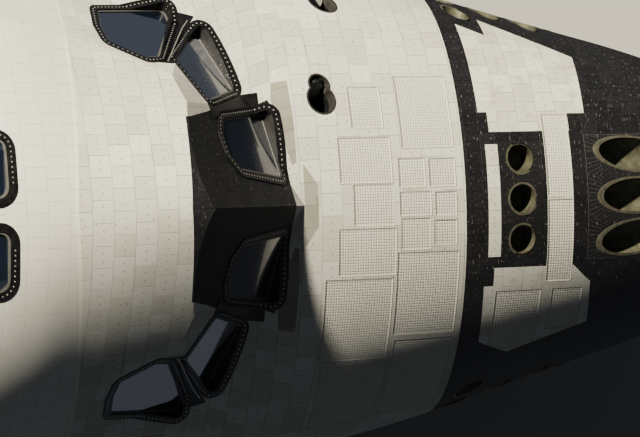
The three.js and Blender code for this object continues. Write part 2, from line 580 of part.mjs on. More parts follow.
// Gear doors: the shell under the well in two halves, hung open from their outer edges, with hinge arms.
for (const [sideName, sign] of bothSides) {
  const foreHinge = place(well.foreStation, sign * well.halfWidth, gearDoor.foreHinge);
  const aftHinge = place(well.aftStation, sign * well.halfWidth, gearDoor.aftHinge);
  const axis = new THREE.Vector3().subVectors(foreHinge, aftHinge).normalize();
  const turn = new THREE.Matrix4().makeTranslation(...aftHinge.toArray())
    .multiply(new THREE.Matrix4().makeRotationAxis(axis, sign * THREE.MathUtils.degToRad(gearDoor.angle)))
    .multiply(new THREE.Matrix4().makeTranslation(...aftHinge.clone().negate().toArray()));
  const sides = sign > 0 ? [gearDoor.middleGap, well.halfWidth] : [-well.halfWidth, -gearDoor.middleGap];
  const panelSolid = shell.intersect(stationBlock(well.foreStation, well.aftStation, ...sides,
    belowKeel, aboveBelly));
  const opened = panelSolid.transform(turn.toArray());
  const arms = gearDoor.arms.map((station) => {
    const share = (station - well.foreStation) / (well.aftStation - well.foreStation);
    const hinge = THREE.MathUtils.lerp(gearDoor.foreHinge, gearDoor.aftHinge, share);
    const belly = bellyHeight(station, well.halfWidth);
    const outerFace = well.halfWidth - (belly - hinge);
    const innerFace = outerFace - shellThickness / inch;
    const wall = well.wallSide - joinGap / inch;
    const { footLow, footHigh, footInset, stemInner, stemOuter, headLow, headHigh } = doorArm;
    const outline = [[innerFace - stemInner, hinge - footLow], [outerFace - footInset, hinge - footLow],
      [outerFace - footInset, hinge - footHigh], [innerFace + stemOuter, hinge - footHigh],
      [innerFace + stemOuter, belly + headLow], [wall, belly + headLow], [wall, belly + headHigh],
      [innerFace - stemInner, belly + headHigh]].map(([y, z]) => [sign * y, z]);
    const ordered = sign > 0 ? outline : outline.reverse();
    const shape = new THREE.Shape(ordered.map(([y, z]) =>
      new THREE.Vector2(y * inch, (z - datumHeight) * inch)));
    const basis = new THREE.Matrix4().makeBasis(new THREE.Vector3(0, 1, 0), new THREE.Vector3(0, 0, 1),
      new THREE.Vector3(1, 0, 0)).setPosition((aftStation - station) * inch, 0, 0);
    return prism(shape, -doorArm.halfLength, doorArm.halfLength, basis);
  });
  add(`gear_door_${sideName}`, blackTile, opened.add(union(arms)));
}

// Air data probes: a panel of the lower shell with the probe on its inner side.
const lowerLugs = [];
for (const [sideName, sign] of bothSides) {
  const { station, height, length, width, mastReach, mastHeight, tubeLength, tubeRadius } = airProbe;
  const rise = (lowerSide(station, height + 2) - lowerSide(station, height - 2)) / 4;
  const widen = (lowerSide(station + 8, height) - lowerSide(station - 8, height)) / 16;
  const basis = skinBasis(place(station, sign * lowerSide(station, height), height), [widen, sign, -rise]);
  const half = [length / 2 * inch, width / 2 * inch];
  const panelShape = (extra, radius) => roundedShape(rectangle(-half[0] - extra, half[0] + extra,
    -half[1] - extra, half[1] + extra), radius);
  shellHoles.push(prism(panelShape(movingGap, holeCorner), -120, 120, basis, 3));
  const lower = basis.elements[6] > 0 ? -1 : 1;
  const pinAt = lower * (half[1] + probeHinge.pinBeyond);
  const pinPoint = (u) => new THREE.Vector3(u, pinAt, probeHinge.out).applyMatrix4(basis);
  const sweepRadius = half[1] * 2 + probeHinge.sweepBeyond;
  const sweep = rod(pinPoint(-length * inch), pinPoint(length * inch), sweepRadius, 72);
  const cover = shell.intersect(prism(panelShape(0, panelCorner), -120, 120, basis, 3)).intersect(sweep);
  const reach = lower * (half[1] - mastReach * inch);
  const at = (u, w) => new THREE.Vector3(u, reach, w).applyMatrix4(basis);
  const depth = -shellThickness - mastHeight * inch;
  const mast = rod(at(-60, -shellThickness + 15), at(-60, depth), 16, 8);
  const tubeHalf = tubeLength / 2 * inch;
  const tube = rod(at(-tubeHalf, depth), at(tubeHalf, depth), tubeRadius * inch, 12, 8);
  const hinge = hinges(basis, { ...probeHinge, pinAt, rootNear: lower * (half[1] - probeHinge.rootNear),
    rootFar: lower * (half[1] - probeHinge.rootFar) });
  lowerLugs.push(hinge.onShell);
  add(`air_data_probe_${sideName}`, blackTile, union([cover, mast, tube, hinge.onDoor]));
}

// Shell panels: nose cap, thruster module, upper and lower fuselage.
const pierced = shell.subtract(union(shellHoles));
const halfGap = joinGap / 2 / inch;
const span = farAway / inch;
const aftEnd = aftStation - (bulkheadThickness + joinGap) / inch;
add('nose_cap', carbonCap, pierced.intersect(
  stationBlock(noseCapStation - 100, noseCapStation - halfGap, -span, span, -span, span)));
add('thruster_module', whiteTile, pierced.intersect(stationBlock(
  noseCapStation + halfGap, thrusterAftStation - halfGap, -span, span, splitHeight + halfGap, span)));
add('upper_fuselage', whiteTile, pierced.intersect(
  stationBlock(thrusterAftStation + halfGap, aftEnd, -span, span, splitHeight + halfGap, span))
  .add(union(shellLugs)));
add('lower_fuselage', blackTile, pierced.intersect(
  stationBlock(noseCapStation + halfGap, aftEnd, -span, span, -span, splitHeight - halfGap))
  .add(union(lowerLugs)));

// Aft bulkhead, which closes the cabin and carries the joining frame.
const bulkheadBasis = new THREE.Matrix4().makeBasis(new THREE.Vector3(0, 1, 0), new THREE.Vector3(0, 0, 1),
  new THREE.Vector3(1, 0, 0));
function bulkheadOutline(corners) {
  return corners.map(([side, height]) => [side * inch, (height - datumHeight) * inch]);
}
function hatchOpening(extra) {
  const wide = airlockHatch.radius * inch + extra;
  const shape = new THREE.Shape();
  const middle = (airlockHatch.height - datumHeight) * inch;
  const flat = middle + airlockHatch.radius * airlockHatch.flatShare * inch + extra;
  const angle = Math.asin((flat - middle) / wide);
  shape.absarc(0, middle, wide, Math.PI - angle, Math.PI * 2 + angle);
  shape.closePath();
  return shape;
}
let bulkhead = outside.intersect(block(new THREE.Vector3(0, -farAway, -farAway),
  new THREE.Vector3(bulkheadThickness, farAway, farAway)))
  .subtract(prism(hatchOpening(movingGap), -100, 300, bulkheadBasis, 12));
for (const [sideName, sign] of bothSides) {
  const sides = [sign * aftWindow.innerSide, sign * aftWindow.outerSide].sort((a, b) => a - b);
  const outline = bulkheadOutline(rectangle(...sides, aftWindow.low, aftWindow.high));
  const radius = aftWindow.corner * inch;
  const hole = roundedShape(grown(outline, joinGap * 2), radius);
  bulkhead = bulkhead.subtract(prism(hole, -100, 300, bulkheadBasis, 3));
  add(`aft_window_${sideName}`, glassPane,
    prism(roundedShape(outline, radius), paneRecess, paneRecess + paneThickness, bulkheadBasis, 3));
}
add('aft_bulkhead', bareAlloy, bulkhead);

// Airlock hatch, flush with the forward face, swinging into the mid deck about its port edge.
const hatchFace = bulkheadThickness;
const hatchEdge = airlockHatch.radius * inch;
const hatchMiddle = (airlockHatch.height - datumHeight) * inch;
const pinAcross = hatchEdge + airlockHatch.pinOutside;
const airlockHinges = [-airlockHatch.pinSpread, airlockHatch.pinSpread].map((offset) => {
  const { pinAhead, pinRadius, pinLength, armHalf } = airlockHatch;
  const middle = hatchMiddle + offset;
  const pin = rod(new THREE.Vector3(hatchFace + pinAhead, pinAcross, middle - pinLength / 2),
    new THREE.Vector3(hatchFace + pinAhead, pinAcross, middle + pinLength / 2), pinRadius, 12);
  return pin.add(block(new THREE.Vector3(hatchFace + joinGap, hatchEdge * 0.8, middle - armHalf),
    new THREE.Vector3(hatchFace + armHalf, pinAcross, middle + armHalf)));
});
const armRootHalf = airlockHatch.pinSpread + airlockHatch.armHalf;
const armRoot = block(
  new THREE.Vector3(hatchFace - airlockHatch.rootDepth, hatchEdge * 0.75, hatchMiddle - armRootHalf),
  new THREE.Vector3(hatchFace + airlockHatch.armHalf, hatchEdge * 0.9, hatchMiddle + armRootHalf));
add('airlock_hatch', bareAlloy, union([prism(hatchOpening(0), hatchFace - airlockHatch.thickness, hatchFace,
  bulkheadBasis, 12), armRoot, ...airlockHinges]));

// Cabin decks, instrument panel, consoles and seats.
function deck(name, height, foreStation) {
  add(name, cabinGrey, stationBlock(foreStation, aftEnd, -span, span, height - deckThickness / inch, height)
    .intersect(lining));
}
deck('flight_deck', flightDeckHeight, flightDeckFore);
deck('mid_deck', midDeckHeight, midDeckFore);
const onDeck = flightDeckHeight + joinGap / inch;
add('instrument_panel', cabinGrey, stationBlock(panel.foreStation, panel.aftStation, -panel.halfWidth,
  panel.halfWidth, onDeck, panel.top).add(stationBlock(panel.foreStation + 2, centreConsole.aftStation,
  -centreConsole.halfWidth, centreConsole.halfWidth, onDeck, centreConsole.top)));
add('aft_console', cabinGrey, stationBlock(aftConsole.foreStation, aftEnd, -aftConsole.halfWidth,
  aftConsole.halfWidth, onDeck, aftConsole.top));
for (const [sideName, sign] of bothSides) {
  const { station, width, panHeight, depth, thickness } = seat;
  const centre = sign * seat.side;
  const sides = [centre - width / 2, centre + width / 2];
  const pan = stationBlock(station - depth, station + thickness, ...sides, onDeck + panHeight - thickness,
    onDeck + panHeight);
  const back = stationBlock(station, station + thickness, ...sides, onDeck + panHeight - thickness,
    onDeck + seat.backHeight);
  const head = stationBlock(station, station + thickness, centre - seat.headHalf, centre + seat.headHalf,
    onDeck + seat.headTop - seat.headHeight, onDeck + seat.headTop);
  const pedestal = stationBlock(station - depth + seat.pedestalFore, station - seat.pedestalAft,
    centre - seat.pedestalHalf, centre + seat.pedestalHalf, onDeck, onDeck + panHeight - thickness + 1);
  add(`seat_${sideName}`, seatCloth, union([pan, back, head, pedestal]));
}

// Nose gear leg, its drag brace, the steered post with its axle, and the two wheels.
const g = gear;
const wallReach = well.wallSide - joinGap / inch;
const onAxis = (height) => place(g.station, 0, height);
// A rod straight across the vehicle.
const crossRod = (station, height, half, radius, sides) =>
  rod(place(station, -half, height), place(station, half, height), radius * inch, sides);
const leg = rod(onAxis(g.legBottom), onAxis(g.trunnionHeight + g.legAbove), g.legRadius * inch, 20);
const trunnion = crossRod(g.station, g.trunnionHeight, wallReach, g.trunnionRadius, 16);
const brace = dragBrace;
const legLug = stationBlock(g.station - brace.eyeAhead + brace.eyeRadius, g.station,
  -brace.lugHalf, brace.lugHalf,
  brace.eyeHeight - brace.lugHeight, brace.eyeHeight + brace.lugHeight);
add('gear_leg', gearWhite, union([leg, trunnion, legLug]));
const braceSides = [-1, 1].map((sign) =>
  rod(place(g.station - brace.eyeAhead, sign * brace.eyeSpread, brace.eyeHeight),
    place(brace.station, sign * brace.barSpread, brace.height), brace.strutRadius * inch, 12));
const braceBar = crossRod(brace.station, brace.height, wallReach, brace.barRadius, 12);
const braceEye = crossRod(g.station - brace.eyeAhead, brace.eyeHeight, brace.eyeHalf,
  brace.eyeRadius - joinGap / inch, 16);
add('drag_brace', gearWhite, union([...braceSides, braceBar, braceEye]));

const postTop = g.legBottom - joinGap / inch;
const piston = rod(onAxis(g.axleHeight), onAxis(postTop), g.pistonRadius * inch, 20);
const collar = rod(onAxis(g.legBottom - g.collarHeight), onAxis(postTop), g.collarRadius * inch, 20);
const axle = crossRod(g.station, g.axleHeight, g.wheelSide + g.tyreWidth / 2, g.axleRadius, 16);
const knuckle = crossRod(g.station, g.axleHeight, g.knuckleHalf, g.knuckleRadius, 16);
const torqueLinks = [-1, 1].flatMap((sign) => {
  const knee = place(g.station + torqueLink.kneeAft, 0, torqueLink.kneeHeight);
  const spread = sign * torqueLink.spread;
  return [[torqueLink.collarAft, torqueLink.collarHeight], [torqueLink.knuckleAft, torqueLink.knuckleHeight]]
    .map(([aft, height]) => rod(place(g.station + aft, spread, height), knee, torqueLink.radius * inch, 6));
});
add('steering_post', gearWhite, union([piston, axle, knuckle, collar, ...torqueLinks]));

// A turned ring: its half profile runs from one bore edge outward, and is mirrored to the other side.
function turned(bore, boreShare, profile, side) {
  const half = g.tyreWidth / 2;
  const outer = [[bore, boreShare], ...profile];
  const inner = outer.filter(([, share]) => share > 0).reverse().map(([radius, share]) => [radius, -share]);
  const points = [...inner.reverse(), ...outer.reverse(), inner[0]]
    .map(([radius, share]) => new THREE.Vector2(radius * inch, share * half * inch));
  const centre = place(g.station, side, g.axleHeight);
  const moved = new THREE.Matrix4().makeTranslation(...centre.toArray());
  return solid(new THREE.LatheGeometry(points, wheelSides), moved);
}
const axleBore = (g.axleRadius + joinGap / inch) / Math.cos(Math.PI / wheelSides);
for (const [sideName, sign] of bothSides) {
  add(`tyre_${sideName}`, tyreRubber,
    turned(g.rimRadius + joinGap / inch, beadShare, tyreProfile, sign * g.wheelSide));
  add(`wheel_${sideName}`, wheelAlloy, turned(axleBore, hubShare, wheelProfile, sign * g.wheelSide));
}

// Forward attach fitting for the external tank, on the keel.
const fittingTop = bellyHeight(tankFitting.station + tankFitting.radius, 0) - joinGap / inch;
add('tank_fitting', bareAlloy, rod(place(tankFitting.station, 0, fittingTop - tankFitting.height),
  place(tankFitting.station, 0, fittingTop), tankFitting.radius * inch * tankFitting.footShare, 20,
  tankFitting.radius * inch));

export default model;
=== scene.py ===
import math
import random

import bmesh
import bpy
import numpy as np
from mathutils import Matrix, Vector
from mathutils.bvhtree import BVHTree


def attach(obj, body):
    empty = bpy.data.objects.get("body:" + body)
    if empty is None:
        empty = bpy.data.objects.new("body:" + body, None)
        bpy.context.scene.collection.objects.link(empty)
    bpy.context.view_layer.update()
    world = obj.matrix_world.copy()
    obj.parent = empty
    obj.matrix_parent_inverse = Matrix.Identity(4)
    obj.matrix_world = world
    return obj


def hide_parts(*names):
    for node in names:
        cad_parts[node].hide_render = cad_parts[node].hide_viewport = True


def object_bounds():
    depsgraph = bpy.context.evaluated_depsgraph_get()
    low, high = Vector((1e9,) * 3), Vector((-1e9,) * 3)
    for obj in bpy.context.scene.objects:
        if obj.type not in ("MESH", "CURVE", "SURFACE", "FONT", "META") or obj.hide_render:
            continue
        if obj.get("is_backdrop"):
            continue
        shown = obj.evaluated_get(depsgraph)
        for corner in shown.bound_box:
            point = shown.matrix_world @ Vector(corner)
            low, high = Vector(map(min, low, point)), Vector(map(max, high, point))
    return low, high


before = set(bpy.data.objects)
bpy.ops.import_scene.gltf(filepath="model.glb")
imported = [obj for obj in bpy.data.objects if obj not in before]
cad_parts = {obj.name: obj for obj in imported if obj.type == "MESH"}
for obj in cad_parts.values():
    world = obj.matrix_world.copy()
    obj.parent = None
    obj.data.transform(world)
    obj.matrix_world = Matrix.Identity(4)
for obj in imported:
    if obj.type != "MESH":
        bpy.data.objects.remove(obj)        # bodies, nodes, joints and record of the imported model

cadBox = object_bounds()
print("CAD model loaded")

# Places are given as the vehicle's own stations, sides and heights in inches. Blender works in metres.
inch = 0.0254
mm = 0.001
aftStation = 582
datumHeight = 400
bothSides = {"port": 1, "starboard": -1}


def place(station, side, height):
    return Vector(((aftStation - station) * inch, side * inch, (height - datumHeight) * inch))


# Nodes, colours and meshes

def colour(code):
    channels = [int(code[i:i + 2], 16) / 255 for i in (0, 2, 4)]
    return [c / 12.92 if c <= 0.04045 else ((c + 0.055) / 1.055) ** 2.4 for c in channels] + [1]


def addNode(tree, kind, inputs, **settings):
    node = tree.nodes.new("ShaderNode" + kind)
    for name, value in settings.items():
        setattr(node, name, value)
    for key, value in inputs.items():
        socket = node.inputs[key] if isinstance(key, int) else next(
            s for s in node.inputs if s.enabled and s.name == key)
        if isinstance(value, bpy.types.Node):
            value = next(s for s in value.outputs if s.enabled)
        if isinstance(value, bpy.types.NodeSocket):
            tree.links.new(value, socket)
        else:
            socket.default_value = value
    return node


def calc(tree, operation, *values, **settings):
    return addNode(tree, "Math", dict(enumerate(values)), operation=operation, **settings)


def startMaterial(name, **settings):
    material = bpy.data.materials.new(name)
    material.use_nodes = True
    shader = material.node_tree.nodes["Principled BSDF"]
    for key, value in settings.items():
        shader.inputs[key.replace("_", " ")].default_value = value
    return material, material.node_tree, shader


def addObject(name, bm):
    mesh = bpy.data.meshes.new(name)
    bm.to_mesh(mesh)
    bm.free()
    piece = bpy.data.objects.new(name, mesh)
    bpy.context.scene.collection.objects.link(piece)
    return piece


def settle(piece):
    # the mesh with its modifiers applied
    bpy.context.view_layer.update()
    made = bpy.data.meshes.new_from_object(piece.evaluated_get(bpy.context.evaluated_depsgraph_get()))
    piece.modifiers.clear()
    piece.data = made
    return piece


def duplicate(source, name):
    piece = source.copy()
    piece.data = source.data.copy()
    piece.name = name
    bpy.context.scene.collection.objects.link(piece)
    return piece


def combine(piece, tool, operation, keep=False):
    modifier = piece.modifiers.new("combine", "BOOLEAN")
    modifier.object = tool
    modifier.operation = operation
    modifier.solver = "MANIFOLD"
    settle(piece)
    if not keep:
        bpy.data.objects.remove(tool)
    return piece


def bevelled(piece, width, segments=3, angle=35):
    modifier = piece.modifiers.new("bevel", "BEVEL")
    modifier.width = width
    modifier.segments = segments
    modifier.limit_method = "ANGLE"
    modifier.angle_limit = math.radians(angle)
    return settle(piece)


def finishPiece(piece, body, materials, nodes=(), sharp=30):
    # smooth faces with sharp edges above an angle, the finish, and the body that the piece rides on
    piece.data.polygons.foreach_set("use_smooth", [True] * len(piece.data.polygons))
    piece.data.set_sharp_from_angle(angle=math.radians(sharp))
    used = [p.material_index for p in piece.data.polygons] if len(materials) > 1 else None
    piece.data.materials.clear()
    for material in materials:
        piece.data.materials.append(material)
    if used:
        piece.data.polygons.foreach_set("material_index", used)
    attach(piece, body)
    if nodes:
        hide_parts(*nodes)
    return piece


# Camera, floor and light

view = {"tilt": math.radians(14), "roll": 0.033, "distance": 100, "frameWidth": 5.724,
        "centre": Vector((4.023, -0.118, 0.202))}


def addCamera():
    along = Vector((math.cos(view["tilt"]), 0, math.sin(view["tilt"])))
    across = Vector((0, 1, 0))
    back = along.cross(across)
    turn, rise = math.cos(view["roll"]), math.sin(view["roll"])
    right = along * turn - across * rise
    up = along * rise + across * turn
    data = bpy.data.cameras.new("camera")
    data.lens = data.sensor_width * view["distance"] / view["frameWidth"]
    data.clip_end = 1000
    camera = bpy.data.objects.new("camera", data)
    camera.matrix_world = Matrix((right, up, back)).transposed().to_4x4()
    camera.location = view["centre"] + back * view["distance"]
    bpy.context.scene.collection.objects.link(camera)
    bpy.context.scene.camera = camera


studio = {"floorSize": 400, "floorColour": "B4B3AF", "keyFrom": (-0.55, 0.532, 0.642), "keyStrength": 6.2,
          "keyColour": "FFF6E8", "keySoftness": math.radians(3), "fillColour": "DCE4F0",
          "fillStrength": 0.06, "cardSize": (140, 100), "cardStrength": 0.15, "cardColour": "DCE6F4",
          "cardAhead": 6, "cardAside": 32, "cardHeight": 0, "cardLean": 0.1}


def addStudio():
    bm = bmesh.new()
    bmesh.ops.create_grid(bm, x_segments=1, y_segments=1, size=studio["floorSize"] / 2)
    bmesh.ops.translate(bm, verts=bm.verts, vec=(cadBox[0].x + 4, 0, cadBox[0].z))
    floor = addObject("floor", bm)
    material, tree, shader = startMaterial("matt studio floor paint", Roughness=0.8)  # flat and pale
    grain = addNode(tree, "TexNoise", {"Scale": 0.4, "Detail": 3.0})
    tint = addNode(tree, "Mix", {"Factor": grain, "A": colour(studio["floorColour"]),
                                 "B": colour("ADACA8")}, data_type="RGBA")
    tree.links.new(tint.outputs[2], shader.inputs["Base Color"])
    floor.data.materials.append(material)
    floor.visible_diffuse = False
    floor.visible_glossy = False
    floor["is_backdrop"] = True
    light = bpy.data.lights.new("key", "SUN")
    light.energy = studio["keyStrength"]
    light.angle = studio["keySoftness"]
    light.color = colour(studio["keyColour"])[:3]
    key = bpy.data.objects.new("key", light)
    key.rotation_mode = "QUATERNION"
    key.rotation_quaternion = Vector(studio["keyFrom"]).to_track_quat("Z", "Y")
    bpy.context.scene.collection.objects.link(key)
    # two large dim cards that only glossy surfaces see, for the glass to reflect
    for sign in (-1, 1):
        card = bpy.data.lights.new("glass card", "AREA")
        card.shape = "RECTANGLE"
        card.size, card.size_y = studio["cardSize"]
        card.energy = studio["cardStrength"] * math.pi * card.size * card.size_y
        card.color = colour(studio["cardColour"])[:3]
        holder = bpy.data.objects.new("glass card", card)
        holder.location = (studio["cardAhead"], sign * studio["cardAside"], studio["cardHeight"])
        holder.rotation_mode = "QUATERNION"
        holder.rotation_quaternion = Vector((0, sign, studio["cardLean"])).to_track_quat("Z", "Y")
        holder.visible_diffuse = False
        holder.visible_camera = False
        bpy.context.scene.collection.objects.link(holder)
    world = bpy.data.worlds.new("soft fill")
    bpy.context.scene.world = world
    world.use_nodes = True
    background = world.node_tree.nodes["Background"]
    background.inputs["Color"].default_value = colour(studio["fillColour"])
    background.inputs["Strength"].default_value = studio["fillStrength"]
    bpy.context.scene.view_settings.view_transform = "Filmic"
    bpy.context.scene.view_settings.look = "High Contrast"


addCamera()
addStudio()
print("camera, floor and light ready")

# The skin. Columns: station, crown, keel, half width, height of the widest point.
bodySections = [
    [236.6, 341.5, 336.5, 3, 339], [240.5, 354, 324, 16, 339], [245, 361, 317.5, 23.5, 339],
    [254, 370, 309.6, 32.5, 339], [270, 381, 302, 42.3, 339.5], [284, 387.8, 298, 48.5, 340],
    [300, 394.8, 294.8, 54, 341], [318, 402, 292, 59.3, 342], [351, 413.5, 288.5, 69, 345],
    [371, 419.8, 286.6, 75, 348], [398, 428.5, 286, 81.7, 352.5], [423, 436, 286, 87, 358],
    [460, 446, 286, 93.5, 367], [490, 454, 286, 98.3, 375.5], [515, 460, 286, 101.3, 382.5],
    [548, 468, 286, 104, 391], [582, 476, 286, 105, 398], [592, 478, 286, 105, 400]]
# The crew cabin's own roof. Columns: station, crown, flatness of the roof, flatness of the side.
cabinSections = [
    [424, 478, 0.28, 0.40], [478, 488.3, 0.30, 0.42], [510, 495.3, 0.33, 0.45], [526, 498, 0.38, 0.47],
    [545, 501.5, 0.46, 0.51], [562, 503.6, 0.52, 0.54], [582, 505, 0.5523, 0.5523],
    [592, 505, 0.5523, 0.5523]]
hull = {"steps": 30, "thickness": 0.06, "cabinFloor": 345, "cabinStep": 0.05, "roundness": 0.5523,
        "noseCapStation": 262, "moduleStation": 371, "splitHeight": 342, "aftEnd": 578.85, "panelGap": 0.03}
# Windshield planes: outward normal (forward, port, up), a point on it, and the outline of the glass in
# inches outboard and up the slope. Starboard is their mirror image.
windshield = {
    "forward": {"normal": (0.693, 0.3734, 0.6167), "point": (454.9, 20.33, 447.76),
                "glass": [(8.7, -16.5), (16.5, 12.8), (12.5, 18.8), (5.2, 22.2), (-1.8, 19.7),
                          (-13.9, -5.4)]},
    "middle": {"normal": (0.6109, 0.5966, 0.5204), "point": (469.52, 50.47, 437.97),
               "glass": [(10.1, -15.1), (12.3, 18.7), (-6, 24.5), (-13.2, 0.5)]},
    "side": {"normal": (0.3309, 0.7966, 0.5059), "point": (493.27, 63.75, 440.99),
             "glass": [(-8.8, -21), (17.6, 0.5), (16.5, 12.6), (13.4, 21.5), (-0.9, 22.7), (-6.1, 18),
                       (-11.2, -12.3)]}}
windowSeat = {"corner": 2.0, "play": 0.0006}


def rowAt(table, station):
    # smooth curves through the table's rows, so that the skin has no crease at a row
    rows = np.array(table, float)
    at = rows[:, 0]
    i = int(np.clip(np.searchsorted(at, station) - 1, 0, len(at) - 2))
    slope = np.gradient(rows, at, axis=0)
    span = at[i + 1] - at[i]
    t = (station - at[i]) / span
    value = ((1 + 2 * t) * (1 - t) ** 2 * rows[i] + t * (1 - t) ** 2 * span * slope[i]
             + t * t * (3 - 2 * t) * rows[i + 1] + t * t * (t - 1) * span * slope[i + 1])
    return value[1:]


def lowerFlatness(station):
    t = min(1, max(0, (station - 270) / 250))
    k = t * t * (3 - 2 * t)
    return hull["roundness"] + 0.33 * k, hull["roundness"] + 0.3 * k


def quarter(halfWidth, tip, widest, flat, upright, t):
    # a quarter of the section, from its tip on the centre line to its widest point
    s = 1 - t
    return (halfWidth * (3 * s * s * t * flat + 3 * s * t * t + t ** 3),
            widest + (tip - widest) * (s ** 3 + 3 * s * s * t + 3 * s * t * t * upright))


def section(station, isCabin, steps):
    crown, keel, halfWidth, widest = rowAt(bodySections, station)
    roof, floor = (hull["roundness"], hull["roundness"]), lowerFlatness(station)
    if isCabin:
        crown, *roof = rowAt(cabinSections, station)
        keel, floor = hull["cabinFloor"], (hull["roundness"], hull["roundness"])
        halfWidth -= hull["cabinStep"]
    above = [quarter(halfWidth, crown, widest, *roof, i / steps) for i in range(steps)]
    below = [quarter(halfWidth, keel, widest, *floor, i / steps) for i in range(steps)]
    port = above + [(halfWidth, widest)] + below[::-1]
    return port + [(-side, height) for side, height in port[-2:0:-1]]


def windshieldPlanes(depth=0):
    for pane in windshield.values():
        for sign in bothSides.values():
            forward, port, up = pane["normal"]
            normal = Vector((forward, sign * port, up)).normalized()
            station, side, height = pane["point"]
            yield place(station, sign * side, height) - normal * depth, normal


def skinSolid(name, isCabin, depth):
    first = cabinSections[0][0] if isCabin else bodySections[0][0]
    noseStations = [] if isCabin else [first + 0.5 * (i / 4) ** 2 * 4 for i in range(16)]
    start = noseStations[-1] + 2.5 if noseStations else first
    count = round((592 - start) / 3.2)
    bm = bmesh.new()
    rings = []
    for station in noseStations + [start + (592 - start) * i / count for i in range(count + 1)]:
        points = section(station, isCabin, hull["steps"])
        ring = bmesh.ops.create_circle(bm, segments=len(points), radius=1)["verts"]
        for vert, (side, height) in zip(ring, points):
            vert.co = place(station, side, height)
        rings.append(list({edge for vert in ring for edge in vert.link_edges}))
    for fore, aft in zip(rings, rings[1:]):
        bmesh.ops.bridge_loops(bm, edges=fore + aft)
    bmesh.ops.holes_fill(bm, edges=rings[0] + rings[-1], sides=0)
    bmesh.ops.recalc_face_normals(bm, faces=bm.faces)
    if depth:
        bm.normal_update()
        for vert, normal in [(vert, vert.normal.copy()) for vert in bm.verts]:
            vert.co -= normal * depth
    if isCabin:
        for point, normal in windshieldPlanes(depth):
            cut = bmesh.ops.bisect_plane(bm, geom=bm.verts[:] + bm.edges[:] + bm.faces[:], plane_co=point,
                                         plane_no=normal, clear_outer=True)["geom_cut"]
            bmesh.ops.holes_fill(bm, edges=[e for e in cut if isinstance(e, bmesh.types.BMEdge)], sides=0)
    return addObject(name, bm)


def hullSolid(name, depth):
    return combine(skinSolid(name, False, depth), skinSolid("cabin", True, depth), "UNION")


# Height of the skin above a station and side, and the wrap that patterns on the skin follow.

def roofHeight(station, sides):
    share = np.linspace(0, 1, 200)
    crown, _, halfWidth, widest = rowAt(bodySections, station)
    sides = np.abs(np.atleast_1d(np.array(sides, float)))
    height = np.interp(sides, *quarter(halfWidth, crown, widest, hull["roundness"], hull["roundness"], share))
    if station < cabinSections[0][0]:
        return height
    crown, *roof = rowAt(cabinSections, station)
    roofLine = np.interp(sides, *quarter(halfWidth, crown, widest, *roof, share))
    for pane in windshield.values():
        forward, port, up = pane["normal"]
        atStation, atSide, atHeight = pane["point"]
        plane = atHeight - (forward * (atStation - station) + port * (sides - atSide)) / up
        roofLine = np.minimum(roofLine, plane)
    return np.maximum(height, roofLine)


def wrapTable():
    # for each station: the angle round the widest point's height, and the girth and radius there
    table = []
    for station in np.arange(236.6, 592, 3):
        _, keel, halfWidth, widest = rowAt(bodySections, station)
        sides = halfWidth * np.sin(np.linspace(0, math.pi / 2, 60))
        heights = roofHeight(station, sides)
        floor = quarter(halfWidth, keel, widest, *lowerFlatness(station), np.linspace(1, 0, 40)[1:])
        sides, heights = np.concatenate([sides, floor[0]]), np.concatenate([heights, floor[1]])
        girth = np.concatenate([[0], np.cumsum(np.hypot(np.diff(sides), np.diff(heights)))]) * inch
        table.append((station, widest, np.arctan2(sides, heights - widest), girth,
                      np.hypot(sides, heights - widest) * inch))
    return table


wrapRows = wrapTable()


def wrapAt(point):
    # girth from the crown, its most at the keel, and depth below the skin, all in metres
    station = aftStation - point.x / inch
    i = min(len(wrapRows) - 2, max(0, int((station - wrapRows[0][0]) / 3)))
    share = (station - wrapRows[i][0]) / 3
    found = []
    for _, widest, angles, girths, radii in wrapRows[i:i + 2]:
        up = point.z - (widest - datumHeight) * inch
        angle = math.atan2(abs(point.y), up)
        found.append((np.interp(angle, angles, girths), girths[-1],
                      np.interp(angle, angles, radii) - math.hypot(point.y, up)))
    return [a + (b - a) * share for a, b in zip(*found)]


def wrapSkin(piece):
    # UV map "skin" in metres, aft to fore and crown outwards, and the inner faces' own material
    mesh = piece.data
    layer = mesh.uv_layers.new(name="skin")
    wrapped = [wrapAt(vert.co) for vert in mesh.vertices]
    for face in mesh.polygons:
        sign = 1 if face.center.y >= 0 else -1
        depths = []
        for loop in face.loop_indices:
            vert = mesh.loops[loop].vertex_index
            point = mesh.vertices[vert].co
            girth, most, depth = wrapped[vert]
            if point.y * sign < 0:
                girth = 2 * most - girth if girth > most / 2 else -girth
            layer.data[loop].uv = (point.x, sign * girth)
            depths.append(depth)
        face.material_index = 1 if min(depths) > hull["thickness"] / 2 else 0
    return piece


# Outlines in metres, and the bases that they are drawn in

def disc(radius, centre=(0, 0), count=48):
    turns = [2 * math.pi * i / count for i in range(count)]
    return [(centre[0] + radius * math.cos(t), centre[1] + radius * math.sin(t)) for t in turns]


def rectangle(halfX, halfY):
    return [(-halfX, -halfY), (halfX, -halfY), (halfX, halfY), (-halfX, halfY)]


def inMetres(corners):
    return [(x * inch, y * inch) for x, y in corners]


def offset(corners, by):
    # a convex outline moved outwards
    points = [Vector(c) for c in corners]
    area = sum(a.x * b.y - b.x * a.y for a, b in zip(points, points[1:] + points[:1]))
    moved = []
    for before, point, after in zip(points[-1:] + points[:-1], points, points[1:] + points[:1]):
        sides = [(point - before).normalized(), (after - point).normalized()]
        normals = [Vector((s.y, -s.x)) * math.copysign(1, area) for s in sides]
        moved.append(point + (normals[0] + normals[1]) * by / (1 + normals[0].dot(normals[1])))
    return [tuple(p) for p in moved]


